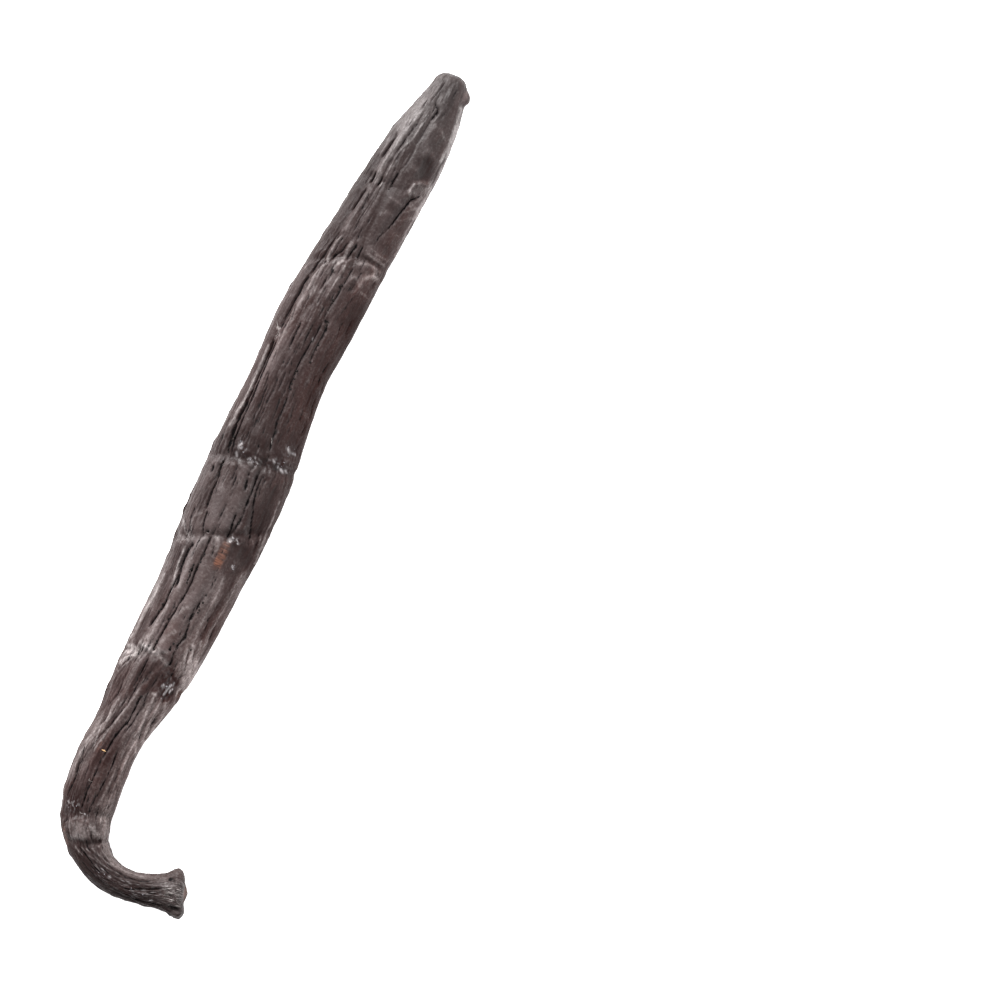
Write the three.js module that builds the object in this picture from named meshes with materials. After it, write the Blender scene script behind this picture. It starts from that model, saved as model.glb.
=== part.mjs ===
// A cured vanilla pod: one long, leathery seed pod, plump and slightly flattened, lying down.
// The blunt tip points along +Y. The stalk end hooks round towards +X and flares where it was torn
// from the vine. The pod is a single skin drawn round a spine that lies level: every step along the
// spine has a ring of points, as wide and as thick as the pod is there. Long furrows run between its
// ribs, and cross creases pinch it where it has been bent.
import * as THREE from 'three';

// ---- Driving dimensions, in millimetres and degrees ----

const RINGS = 92;          // cross sections from the tip to the stalk's end
const RING_POINTS = 60;    // points round each section
const TOP_CROWDING = 0.3;  // how much closer the points stand on the upper side

// The spine leaves the tip along this heading, measured from +X, and turns in smooth bends.
const TIP_HEADING = -82.9;
const BENDS = [
  { at: 4, over: 9, turn: -10.6 },          // curl of the tip
  { at: 49.7, over: 31.5, turn: 8.8 },      // sway of the upper body
  { at: 104.2, over: 95.6, turn: -13.9 },   // long sway back of the lower body
  { at: 122.3, over: 11.5, turn: 16.1 },    // turn of the neck
  { at: 139.7, over: 24.8, turn: 103.9 },   // hook of the stalk
];

// Distance along the spine, half width, half thickness, and height of the underside.
const GIRTH = [
  [-1, 2.2, 1.65, 1.7],
  [3, 3.2, 2.2, 1.3],
  [7, 4.2, 2.75, 0.9],
  [12, 5.1, 3.2, 0.45],
  [20, 5.6, 3.45, 0],
  [33, 6.0, 3.55, -0.25],
  [45, 6.4, 3.75, -0.2],
  [55, 6.0, 3.65, 0.05],
  [62, 6.45, 3.85, 0],
  [71, 7.1, 4.15, -0.3],
  [84, 6.95, 4.05, -0.3],
  [88, 6.6, 3.9, -0.2],
  [103, 6.15, 3.65, -0.1],
  [110, 5.55, 3.35, 0.1],
  [117, 4.5, 2.95, 0.5],
  [126, 4.55, 2.85, 0.9],
  [133, 4.05, 2.7, 1.1],
  [139, 3.0, 2.35, 1.0],
  [145, 2.45, 2.1, 0.7],
  [150, 2.7, 2.2, 0.3],
  [152.2, 3.1, 2.35, 0.05],
  [154, 3.95, 2.55, -0.2],
  [155.2, 4.15, 2.6, -0.25],
];
const SECTION_SQUARENESS = 0.9;  // 1 is an ellipse, less is boxier

// Both ends are caps: where the cap begins, how deep it is, how many rings it takes, and how blunt.
const TIP_CAP = { base: 0.9, depth: 1.5, rings: 5, bluntness: 0.65 };
const STALK_CAP = { base: 153.8, depth: 1.6, rings: 6, bluntness: 0.7 };
const TORN_CORE = { height: 0.5, radius: 0.4 };  // stub of fibres on the stalk's torn face

// Long furrows between the ribs of the upper side: [distance along, distance across] from end to
// end. Across is positive on the hook's side of the pod.
const FURROW_FADE = 2.5;
const FURROWS = [
  { depth: 0.3, width: 0.6, path: [[9, -3.9], [13, -4.3], [26, -4], [36, -4.2]] },
  { depth: 0.2, width: 0.6, path: [[8, -1.3], [14, -2.4], [24, -2.3], [30, -1], [36, -1.7], [46, -2.3], [52, -2.2]] },
  { depth: 0.3, width: 0.55, path: [[1, 0.2], [5, -0.8], [10, -0.3], [20, -0.6], [31, 0.6], [44, 0.7]] },
  { depth: 0.3, width: 0.6, path: [[17, 3.8], [24, 2.8], [29, 1.9]] },
  { depth: 0.35, width: 0.65, path: [[36, -4.4], [47, -4.7], [60, -4.8], [70, -4.5]] },
  { depth: 0.2, width: 0.6, path: [[48, -1.3], [58, -2], [69, -2.2], [76, -2]] },
  { depth: 0.35, width: 0.6, path: [[42, 0.6], [54, 0.4], [62, 1.1], [70, 1.7], [84, 1.3]] },
  { depth: 0.3, width: 0.65, path: [[68, 2.2], [73, 2.3], [80, 4.2], [85, 4.8]] },
  { depth: 0.3, width: 0.6, path: [[70, -4.4], [78, -4.3], [84, -3.1]] },
  { depth: 0.35, width: 0.65, path: [[84, -3.8], [89, -4.4], [95, -3.6], [101, -4.3]] },
  { depth: 0.35, width: 0.6, path: [[82, -1.7], [91, -1.4], [99, -2], [110, -1.2], [120, -2], [126, -2.9]] },
  { depth: 0.35, width: 0.6, path: [[86, 1.9], [94, 1.2], [99, 1.5], [106, 2.4]] },
  { depth: 0.25, width: 0.6, path: [[105, 1.4], [114, 1], [121, 1.4], [126, 1.7], [132, 0.4]] },
  { depth: 0.3, width: 0.55, path: [[110, -0.2], [114, 0.4], [119, -0.2], [126, -0.9], [133, -1.4], [141, -0.6]] },
  { depth: 0.25, width: 0.5, path: [[136, 1.2], [143, 0.2], [151, 0.3]] },
  { depth: 0.25, width: 0.5, path: [[138, -2], [146, -1.7], [153, -1.9]] },
];

// Cross creases: where each meets the outer edge, the middle and the hook's edge of the pod.
const CREASES = [
  { depth: 0.2, width: 0.8, edges: [20.6, 20.2, 17.6] },
  { depth: 0.3, width: 0.8, edges: [36.9, 33, 31.6] },
  { depth: 0.5, width: 0.85, edges: [70.6, 69.4, 68.8] },
  { depth: 0.4, width: 0.85, edges: [85.4, 82.2, 78.5] },
  { depth: 0.4, width: 0.85, edges: [105.6, 103.6, 107.6] },
  { depth: 0.3, width: 0.8, edges: [132.7, 131.6, 131.8] },
  { depth: 0.35, width: 0.7, edges: [135.4, 136.6, 137.2] },
];
const CREASE_UNDERSIDE = 0.2;  // share of a crease's depth that goes on at the sides and underneath

// Ribs of the underside, which the pod's weight presses flat where they touch down.
const UNDER_RIBS = { height: 0.22, count: 9, drift: 0.045 };

// Bumps that stand out of the sides: the nub by the tip and the knuckles of the neck. Round is the
// angle round the ring from the outer edge over the top, and spread is in millimetres.
const BUMPS = [
  { at: 2.2, round: 176, height: 0.8, spread: 1.05 },
  { at: 128.9, round: 10, height: 0.22, spread: 1.3 },
  { at: 132.4, round: 10, height: 0.28, spread: 1 },
];

// Rings crowd together round these places, where the shape changes fastest.
const RING_SPACING = 2.1;
const FINE_PLACES = [2, 34, 70, 82, 104.5, 132.5, 136, 153];
const FINE_REACH = 3;
const FINE_GAIN = 2.2;

const POD_COLOUR = 0x4a403e;

// ---- Helpers ----

const rad = THREE.MathUtils.degToRad;
const girth = new THREE.CubicInterpolant(GIRTH.map((row) => row[0]), GIRTH.flatMap((row) => row.slice(1)), 3);

function headingAt(along) {
  const turned = BENDS.map((bend) => bend.turn * THREE.MathUtils.smoothstep((along - bend.at) / bend.over, -0.5, 0.5));
  return rad(TIP_HEADING + turned.reduce((sum, turn) => sum + turn, 0));
}

// Position on a path of [along, across] points, or null beyond its ends.
function pathAcross(path, along) {
  const next = path.findIndex((point) => point[0] > along);
  if (next < 1) return null;
  const [from, to] = [path[next - 1], path[next]];
  return THREE.MathUtils.mapLinear(along, from[0], to[0], from[1], to[1]);
}

// ---- Rings: where each cross section stands, and how far the caps have closed it ----

function capRings() {
  const tip = [];
  for (let i = 0; i < TIP_CAP.rings; i += 1) {
    const angle = (i / TIP_CAP.rings) * (Math.PI / 2);
    const along = TIP_CAP.base - TIP_CAP.depth * Math.cos(angle);
    tip.push({ along, open: Math.sin(angle) ** TIP_CAP.bluntness });
  }
  const stalk = [];
  for (let i = 1; i <= STALK_CAP.rings; i += 1) {
    const angle = (i / STALK_CAP.rings) * (Math.PI / 2);
    const open = i < STALK_CAP.rings ? Math.cos(angle) ** STALK_CAP.bluntness : 0;
    const core = TORN_CORE.height * THREE.MathUtils.smoothstep(TORN_CORE.radius - open, 0, TORN_CORE.radius);
    stalk.push({ along: STALK_CAP.base + STALK_CAP.depth * Math.sin(angle) + core, open });
  }
  return { tip, stalk };
}

// Rings of the body between the caps, spaced by equal shares of a density.
function bodyRings(count) {
  const step = 0.1;
  const reached = [0];
  const places = [TIP_CAP.base];
  while (places.at(-1) < STALK_CAP.base) {
    const along = Math.min(places.at(-1) + step, STALK_CAP.base);
    const fine = FINE_PLACES.reduce((sum, place) => sum + Math.exp(-(((along - place) / FINE_REACH) ** 2)), 0);
    reached.push(reached.at(-1) + (along - places.at(-1)) * (1 + FINE_GAIN * fine) / RING_SPACING);
    places.push(along);
  }
  const rings = [];
  for (let i = 0; i < count; i += 1) {
    const share = (i / (count - 1)) * reached.at(-1);
    const next = Math.max(1, reached.findIndex((value) => value >= share));
    const along = THREE.MathUtils.mapLinear(share, reached[next - 1], reached[next], places[next - 1], places[next]);
    rings.push({ along, open: 1 });
  }
  return rings;
}

// Walks the spine from ring to ring and notes where each ring's centre lies.
function placeRings(rings) {
  const walk = new THREE.Vector2();
  const subSteps = 8;
  rings.forEach((ring, i) => {
    const start = i === 0 ? ring.along : rings[i - 1].along;
    const step = (ring.along - start) / subSteps;
    for (let k = 0; k < subSteps; k += 1) {
      const heading = headingAt(start + (k + 0.5) * step);
      walk.x += step * Math.cos(heading);
      walk.y += step * Math.sin(heading);
    }
    ring.centre = walk.clone();
    ring.heading = headingAt(ring.along);
  });
  return rings;
}

// ---- Relief: how far the skin stands out of, or sinks into, the plain section ----

function furrowDepth(along, across, lit) {
  return FURROWS.reduce((sum, furrow) => {
    const centre = pathAcross(furrow.path, along);
    if (centre === null) return sum;
    const toEnd = Math.min(along - furrow.path[0][0], furrow.path.at(-1)[0] - along);
    const fade = THREE.MathUtils.smoothstep(toEnd, 0, FURROW_FADE);
    return sum + lit * fade * furrow.depth * Math.exp(-(((across - centre) / furrow.width) ** 2));
  }, 0);
}

function creaseDepth(along, side, lift) {
  const share = THREE.MathUtils.lerp(CREASE_UNDERSIDE, 1, THREE.MathUtils.smoothstep(lift, 0, 0.6));
  return CREASES.reduce((sum, crease) => {
    const [outer, middle, inner] = crease.edges;
    const place = side < 0 ? THREE.MathUtils.lerp(middle, outer, -side) : THREE.MathUtils.lerp(middle, inner, side);
    return sum + share * crease.depth * Math.exp(-(((along - place) / crease.width) ** 2));
  }, 0);
}

function bumpHeight(along, angle, radius) {
  return BUMPS.reduce((sum, bump) => {
    const round = (angle - rad(bump.round)) * radius;
    const distance = Math.hypot(along - bump.at, round);
    return sum + bump.height * Math.exp(-((distance / bump.spread) ** 3));
  }, 0);
}

function ribHeight(along, angle) {
  const under = Math.max(0, -Math.sin(angle));
  return UNDER_RIBS.height * under * Math.cos(UNDER_RIBS.count * angle + UNDER_RIBS.drift * along);
}

// ---- The skin: one point of the ring, angle 0 at the outer edge, a quarter turn at the top ----

function skinPoint(ring, angle) {
  const [halfWidth, halfThickness, underside] = girth.evaluate(ring.along);
  const cos = -Math.cos(angle);
  const sin = Math.sin(angle);
  const square = (value) => Math.sign(value) * Math.abs(value) ** SECTION_SQUARENESS;
  const width = halfWidth * ring.open;
  const thickness = halfThickness * ring.open;
  const across = width * square(cos);
  const lit = THREE.MathUtils.smoothstep(sin, -0.1, 0.35);
  const normal = new THREE.Vector2(cos / halfWidth, sin / halfThickness).normalize();
  const sunk = furrowDepth(ring.along, across, lit) + creaseDepth(ring.along, cos, sin);
  const raised = bumpHeight(ring.along, angle, halfWidth) + ribHeight(ring.along, angle);
  const relief = ring.open * (raised - sunk);
  const sideways = across + relief * normal.x;
  const upwards = underside + halfThickness + thickness * square(sin) + relief * normal.y;
  return new THREE.Vector3(
    ring.centre.x - sideways * Math.sin(ring.heading),
    ring.centre.y + sideways * Math.cos(ring.heading),
    Math.max(0, upwards),
  );
}

// A sphere's grid of points, redrawn ring by ring: its poles become the tip and the torn end.
function podGeometry() {
  const { tip, stalk } = capRings();
  const rings = placeRings([...tip, ...bodyRings(RINGS - tip.length - stalk.length), ...stalk]);
  const geometry = new THREE.SphereGeometry(1, RING_POINTS, RINGS - 1);
  const position = geometry.getAttribute('position');
  rings.forEach((ring, i) => {
    for (let j = 0; j <= RING_POINTS; j += 1) {
      const turn = ((j % RING_POINTS) / RING_POINTS) * 2 * Math.PI;
      const angle = turn + TOP_CROWDING * (Math.cos(turn) - 1);
      position.setXYZ(i * (RING_POINTS + 1) + j, ...skinPoint(ring, angle).toArray());
    }
  });
  geometry.computeBoundingBox();
  const middle = geometry.boundingBox.getCenter(new THREE.Vector3());
  geometry.translate(-middle.x, -middle.y, -geometry.boundingBox.min.z);
  geometry.computeVertexNormals();
  return geometry;
}

const pod = new THREE.Mesh(
  podGeometry(),
  new THREE.MeshStandardMaterial({ color: POD_COLOUR, roughness: 0.5, metalness: 0 }),
);
pod.name = 'pod';

const group = new THREE.Group();
group.add(pod);

export default group;
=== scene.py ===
# %% [markdown]
# # A cured vanilla pod
# A vanilla pod is a long seed pod that has been wilted, sweated and dried for months. It goes from
# green and smooth to dark, oily and wrinkled, so nearly all of its look is in the shape of its skin:
# long ribs, furrows and cracks, and cross creases where it was bent while it dried.
# This lesson grows that skin in three layers. Geometry Nodes sweep a plain pod along its spine,
# array maths presses the ribs, creases and cracks into it, and shader nodes add what is finer than
# the mesh. The first cell loads the measured frame that every piece has to fit.

import math
from functools import reduce

import bpy
import numpy as np
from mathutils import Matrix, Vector


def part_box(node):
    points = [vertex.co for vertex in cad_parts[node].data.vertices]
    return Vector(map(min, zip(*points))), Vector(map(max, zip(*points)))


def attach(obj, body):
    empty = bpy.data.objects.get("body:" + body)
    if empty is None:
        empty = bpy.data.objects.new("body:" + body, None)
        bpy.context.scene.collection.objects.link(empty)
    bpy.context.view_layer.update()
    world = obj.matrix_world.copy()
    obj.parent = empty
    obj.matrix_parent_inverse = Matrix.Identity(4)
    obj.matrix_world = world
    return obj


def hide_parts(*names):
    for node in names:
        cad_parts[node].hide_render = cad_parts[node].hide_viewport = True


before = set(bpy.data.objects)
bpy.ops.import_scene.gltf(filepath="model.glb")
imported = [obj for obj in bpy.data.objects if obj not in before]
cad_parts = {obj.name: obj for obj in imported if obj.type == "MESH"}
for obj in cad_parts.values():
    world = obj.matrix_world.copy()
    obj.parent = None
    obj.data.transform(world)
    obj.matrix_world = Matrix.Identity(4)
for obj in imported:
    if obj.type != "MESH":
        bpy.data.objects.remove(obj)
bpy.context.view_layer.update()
MM = 0.001

# %% [markdown]
# ## The spine and the girth
# The pod could be drawn with a bezier curve, but a pod's bends are easier to read as turns: it
# leaves the tip on a heading and turns a little here and a lot at the stalk. Each bend is a place, a
# length that it is spread over and an angle. The girth is a short table of half widths, half
# thicknesses and heights of the underside, joined by a smooth curve. All of it is in millimetres.

# %% Bends and girth
TIP_HEADING = -82.9
BENDS = [       # place along the pod, length it is spread over, turn in degrees
    (4.0, 9.0, -10.6),      # curl of the tip
    (49.7, 31.5, 8.8),      # sway of the upper body
    (104.2, 95.6, -13.9),   # long sway back of the lower body
    (122.3, 11.5, 16.1),    # turn of the neck
    (139.7, 24.8, 103.9),   # hook of the stalk
]
GIRTH = np.array([          # distance along, half width, half thickness, height of the underside
    (-1, 2.2, 1.65, 1.7), (3, 3.2, 2.2, 1.3), (7, 4.2, 2.75, .9), (12, 5.1, 3.2, .45),
    (20, 5.6, 3.45, 0), (33, 6, 3.55, -.25), (45, 6.4, 3.75, -.2), (55, 6, 3.65, .05),
    (62, 6.45, 3.85, 0), (71, 7.1, 4.15, -.3), (84, 6.95, 4.05, -.3), (88, 6.6, 3.9, -.2),
    (103, 6.15, 3.65, -.1), (110, 5.55, 3.35, .1), (117, 4.5, 2.95, .5), (126, 4.55, 2.85, .9),
    (133, 4.05, 2.7, 1.1), (139, 3, 2.35, 1), (145, 2.45, 2.1, .7), (150, 2.7, 2.2, .3),
    (152.2, 3.1, 2.35, .05), (154, 3.95, 2.55, -.2), (155.2, 4.15, 2.6, -.25),
])
TIP_BASE, TIP_DEPTH, TIP_BLUNTNESS = 0.9, 1.5, 0.65
STALK_BASE, STALK_DEPTH, STALK_BLUNTNESS = 153.8, 1.6, 0.7


def smoothstep(value, low, high):
    """0 below low, 1 above high, and an S-shaped slope between them."""
    share = np.clip((value - low) / (high - low), 0, 1)
    return share * share * (3 - 2 * share)


def between(value, low, full, fading, gone):
    """0 below low, 1 from full to fading, and 0 again above gone."""
    return smoothstep(value, low, full) * (1 - smoothstep(value, fading, gone))


def bell(distance, width):
    """1 at the middle, and less the farther off."""
    return np.exp(-((distance / width) ** 2))


def heading_at(along):
    """Direction of the spine in radians, counted from +X."""
    turned = sum(turn * smoothstep((along - at) / over, -0.5, 0.5) for at, over, turn in BENDS)
    return np.radians(TIP_HEADING + turned)


def girth_at(along):
    """Half width, half thickness and underside, on a smooth curve through the table's rows."""
    places, values = GIRTH[:, 0], GIRTH[:, 1:]
    secants = np.diff(values, axis=0) / np.diff(places)[:, None]
    slopes = np.vstack([secants[:1], (secants[1:] + secants[:-1]) / 2, secants[-1:]])
    row = np.clip(np.searchsorted(places, along) - 1, 0, len(places) - 2)
    span = (places[row + 1] - places[row])[:, None]
    t = ((along - places[row])[:, None]) / span
    start = (2 * t**3 - 3 * t**2 + 1) * values[row] + (t**3 - 2 * t**2 + t) * span * slopes[row]
    end = (3 * t**2 - 2 * t**3) * values[row + 1] + (t**3 - t**2) * span * slopes[row + 1]
    return (start + end).T


print("turn of the whole pod:", sum(turn for _, _, turn in BENDS), "degrees")

# %% [markdown]
# ## Rings along the spine
# The skin will be a grid of rings. A wrinkled skin needs rings close together where it is creased
# across, and can do with fewer where its ribs only run lengthwise, so the rings are spaced by equal
# shares of a density. The caps at both ends close the rings along a quarter of a blunt arc, and a
# small core stands out of the torn end. A walk in short steps along the headings gives each ring's
# centre.

# %% Ring places
RINGS, ROUND, CAP_RINGS = 516, 192, 14
FINE_PLACES = [2, 20, 34, 70, 82, 104.5, 132, 136, 153]
FINE_REACH, FINE_GAIN, FINE_STEP = 3.2, 1.3, 0.05
TORN_CORE_HEIGHT, TORN_CORE_RADIUS = 0.5, 0.4
WALK_STEP = 0.02


def body_places(count):
    """Places between the caps, closer together near the creases."""
    along = np.arange(TIP_BASE, STALK_BASE, FINE_STEP)
    reached = np.cumsum(1 + FINE_GAIN * sum(bell(along - place, FINE_REACH) for place in FINE_PLACES))
    return np.interp(np.linspace(reached[0], reached[-1], count), reached, along)


quarter = np.linspace(0, np.pi / 2, CAP_RINGS + 1)
tip_along = TIP_BASE - TIP_DEPTH * np.cos(quarter[:-1])
tip_open = np.sin(quarter[:-1]) ** TIP_BLUNTNESS
stalk_open = np.append(np.cos(quarter[1:-1]) ** STALK_BLUNTNESS, 0.0)
torn_core = TORN_CORE_HEIGHT * smoothstep(TORN_CORE_RADIUS - stalk_open, 0, TORN_CORE_RADIUS)
stalk_along = STALK_BASE + STALK_DEPTH * np.sin(quarter[1:]) + torn_core
middle_along = body_places(RINGS - 2 * CAP_RINGS)
ring_along = np.concatenate([tip_along, middle_along, stalk_along])
ring_open = np.concatenate([tip_open, np.ones(len(middle_along)), stalk_open])

walk = np.arange(-2, 158, WALK_STEP)
walk_heading = heading_at(walk + WALK_STEP / 2)
walk_x, walk_y = np.cumsum([np.cos(walk_heading), np.sin(walk_heading)], axis=1) * WALK_STEP
ring_centre = np.column_stack([np.interp(ring_along, walk, way) for way in (walk_x, walk_y, 0 * walk)])
print(len(ring_along), "rings,", np.round(np.diff(middle_along).min(), 2), "to",
      np.round(np.diff(middle_along).max(), 2), "mm apart")

# %% [markdown]
# ## Wiring helpers
# Node trees are easier to read as formulas than as boxes. These helpers add a node, set its values
# and join its inputs in one line. A value that is an output socket is joined, and any other value is
# typed into the input.


# %% Helpers for node trees
def add(tree, kind, inputs=(), **settings):
    """Adds a node. inputs is a dict or a list: socket name or number, and a value or a socket."""
    node = tree.nodes.new(kind)
    for name, value in settings.items():
        setattr(node, name, value)
    for slot, value in inputs.items() if isinstance(inputs, dict) else enumerate(inputs):
        if isinstance(value, bpy.types.NodeSocket):
            tree.links.new(value, node.inputs[slot])
        elif value is not None:
            node.inputs[slot].default_value = value
    return node


def calc(tree, operation, *values):
    """One step of arithmetic."""
    return add(tree, "ShaderNodeMath", values, operation=operation).outputs[0]


def plus(tree, *values):
    """The sum of the values."""
    return reduce(lambda first, second: calc(tree, "ADD", first, second), values)


def times(tree, *values):
    """The product of the values."""
    return reduce(lambda first, second: calc(tree, "MULTIPLY", first, second), values)


def new_tree(name, kind, inputs, outputs):
    """A node group with named inputs and outputs: (name, kind of socket, default value)."""
    tree = bpy.data.node_groups.new(name, kind)
    for way, rows in (("INPUT", inputs), ("OUTPUT", outputs)):
        for label, socket, *default in rows:
            made = tree.interface.new_socket(label, in_out=way, socket_type="NodeSocket" + socket)
            if default:
                made.default_value = default[0]
    return tree, tree.nodes.new("NodeGroupInput").outputs, tree.nodes.new("NodeGroupOutput")


def new_shape_tree(name, inputs):
    """A Geometry Nodes tree that takes a shape and a material, besides its own inputs."""
    shape = ("Geometry", "Geometry")
    return new_tree(name, "GeometryNodeTree", [shape, *inputs, ("Material", "Material")], [shape])


def end_shape_tree(tree, given, result, shape):
    """The last steps of each of them: real mesh, with its material."""
    shape = add(tree, "GeometryNodeRealizeInstances", [shape]).outputs[0]
    shape = add(tree, "GeometryNodeSetMaterial", {0: shape, "Material": given["Material"]}).outputs[0]
    tree.links.new(shape, result.inputs[0])
    return tree


def carried(tree, name, kind="FLOAT"):
    """A value that the points carry into a Geometry Nodes tree."""
    return add(tree, "GeometryNodeInputNamedAttribute", {"Name": name}, data_type=kind).outputs["Attribute"]


# %% Helpers for objects
def new_object(name, data):
    """A new object in the scene."""
    made = bpy.data.objects.new(name, data)
    bpy.context.scene.collection.objects.link(made)
    return made


def write_attribute(mesh, name, values):
    """Stores one number or one vector for each vertex."""
    kind, key = ("FLOAT_VECTOR", "vector") if np.ndim(values) > 1 else ("FLOAT", "value")
    attribute = mesh.attributes.get(name) or mesh.attributes.new(name, kind, "POINT")
    attribute.data.foreach_set(key, np.ascontiguousarray(values, np.float32).ravel())


def read_attribute(mesh, name):
    """One number for each vertex, as an array."""
    values = np.empty(len(mesh.vertices), np.float32)
    mesh.attributes[name].data.foreach_get("value", values)
    return values.astype(float)


def new_points(name, places, edges=(), faces=(), **values):
    """A mesh object from places in millimetres. Its points carry the values."""
    mesh = bpy.data.meshes.new(name)
    mesh.from_pydata((np.asarray(places) * MM).tolist(), edges, faces)
    for label, numbers in values.items():
        write_attribute(mesh, label, numbers)
    return new_object(name, mesh)


def grow(name, source, tree, values):
    """Turns an object into what a Geometry Nodes tree makes of it: a plain new mesh object."""
    modifier = source.modifiers.new("nodes", "NODES")
    modifier.node_group = tree
    sockets = {item.name: item.identifier for item in tree.interface.items_tree if item.in_out == "INPUT"}
    for label, value in values.items():
        modifier[sockets[label]] = value
    evaluated = source.evaluated_get(bpy.context.evaluated_depsgraph_get())
    mesh = bpy.data.meshes.new_from_object(evaluated)
    source.modifiers.remove(modifier)
    bpy.data.objects.remove(source)
    mesh.name = name
    mesh.shade_smooth()
    return new_object(name, mesh)


# %% [markdown]
# ## The plain pod, swept by Geometry Nodes
# A curve with a bevel can't do this sweep: the pod is wider than it is thick, by a different amount
# at every step. So the tree draws a flat grid, one row for each ring, and looks up each row's centre,
# heading and girth in the spine's points. Each vertex then moves to its place on a squarish ellipse.
# The rows crowd together on the upper side, where the cracks are finest. Merging by distance closes
# the seam and both poles.


# %% The sweeping tree
def sweep_tree():
    """Points with a girth in, the skin of a pod out."""
    tree, given, result = new_shape_tree("Sweep a pod along its spine", [
        ("Points Round", "Int", 64), ("Squareness", "Float", 1.0), ("Top Crowding", "Float", 0.0)])
    spine_points = given["Geometry"]
    rings = add(tree, "GeometryNodeAttributeDomainSize", [spine_points]).outputs["Point Count"]
    columns = plus(tree, given["Points Round"], 1)
    grid = add(tree, "GeometryNodeMeshGrid", [1.0, 1.0, rings, columns]).outputs["Mesh"]
    index = add(tree, "GeometryNodeInputIndex").outputs[0]
    row = calc(tree, "FLOOR", calc(tree, "DIVIDE", plus(tree, index, 0.5), columns))
    column = calc(tree, "SUBTRACT", index, times(tree, row, columns))
    turn = times(tree, calc(tree, "DIVIDE", column, given["Points Round"]), 2 * math.pi)
    shift = calc(tree, "SUBTRACT", calc(tree, "COSINE", turn), 1)
    angle = plus(tree, turn, times(tree, given["Top Crowding"], shift))

    def of_ring(value, kind="FLOAT"):
        """What the spine's point for this row carries."""
        return add(tree, "GeometryNodeSampleIndex", {"Geometry": spine_points, "Value": value, "Index": row},
                   data_type=kind, domain="POINT").outputs["Value"]

    def squared(value):
        """The section's squareness applied, with the sign kept."""
        size = calc(tree, "POWER", calc(tree, "ABSOLUTE", value), given["Squareness"])
        return times(tree, calc(tree, "SIGN", value), size)

    centre = of_ring(add(tree, "GeometryNodeInputPosition").outputs[0], "FLOAT_VECTOR")
    along, heading, opened, width, thickness, underside = (
        of_ring(carried(tree, name))
        for name in ("along", "heading", "open", "half_width", "half_thickness", "underside"))
    sideways = times(tree, width, opened, squared(times(tree, calc(tree, "COSINE", angle), -1)))
    rise = times(tree, thickness, opened, squared(calc(tree, "SINE", angle)))
    offset = add(tree, "ShaderNodeCombineXYZ", [
        times(tree, sideways, calc(tree, "SINE", heading), -1),
        times(tree, sideways, calc(tree, "COSINE", heading)),
        plus(tree, plus(tree, underside, thickness), rise)]).outputs[0]
    place = add(tree, "ShaderNodeVectorMath", [centre, offset], operation="ADD").outputs[0]
    skin = add(tree, "GeometryNodeSetPosition", {"Geometry": grid, "Position": place}).outputs[0]
    for label, value in (("along", along), ("angle", angle), ("open", opened)):
        skin = add(tree, "GeometryNodeStoreNamedAttribute",
                   {"Geometry": skin, "Name": label, "Value": value}, data_type="FLOAT").outputs[0]
    skin = add(tree, "GeometryNodeMergeByDistance", {"Geometry": skin, "Distance": 1e-6}).outputs[0]
    return end_shape_tree(tree, given, result, skin)


# %% Sweep the skin
SQUARENESS = 0.9
TOP_CROWDING = 0.6
half_width, half_thickness, underside = girth_at(ring_along) * MM
spine = new_points("spine", ring_centre, along=ring_along, heading=heading_at(ring_along), open=ring_open,
                   half_width=half_width, half_thickness=half_thickness, underside=underside)
skin_finish = bpy.data.materials.new("cured_pod_skin")
skin = grow("pod_skin", spine, sweep_tree(), {"Points Round": ROUND, "Squareness": SQUARENESS,
                                              "Top Crowding": TOP_CROWDING, "Material": skin_finish})
print("plain pod:", len(skin.data.vertices), "points,", len(skin.data.polygons), "faces")

# %% [markdown]
# ## Reading the skin as arrays
# The ribs and cracks could be sculpted, or driven by displacement textures. Arrays are used because
# every crack has its own place, and a formula over the whole skin puts it there exactly. Each vertex
# gets its distance along the pod, its distance across it, its angle round the section and the
# direction that faces outwards.

# %% Coordinates on the skin
points = np.empty(len(skin.data.vertices) * 3, np.float32)
skin.data.vertices.foreach_get("co", points)
points = points.astype(float).reshape(-1, 3) / MM
along, angle, opened = (read_attribute(skin.data, name) for name in ("along", "angle", "open"))
width_here, thickness_here, _ = girth_at(along)
heading_here = heading_at(along)
side, lift = -np.cos(angle), np.sin(angle)
across = width_here * opened * np.sign(side) * np.abs(side) ** SQUARENESS
upper = smoothstep(lift, -0.1, 0.35)
lean = np.column_stack([side / width_here, lift / thickness_here])
lean /= np.linalg.norm(lean, axis=1)[:, None]
stalk_way = np.column_stack([np.cos(heading_here), np.sin(heading_here), np.zeros(len(along))])
outward = np.column_stack([-stalk_way[:, 1] * lean[:, 0], stalk_way[:, 0] * lean[:, 0], lean[:, 1]])
print("across from", np.round(across.min(), 2), "to", np.round(across.max(), 2), "mm")


# %% [markdown]
# ## Noise that follows the pod
# Wrinkled skin is noise stretched along the pod. Blender's noise textures can't be read from an
# array, so here is lattice noise in a few lines: random slopes on a grid, blended smoothly. It wraps
# round the pod, so there is no seam, and every use has its own seed.

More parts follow.
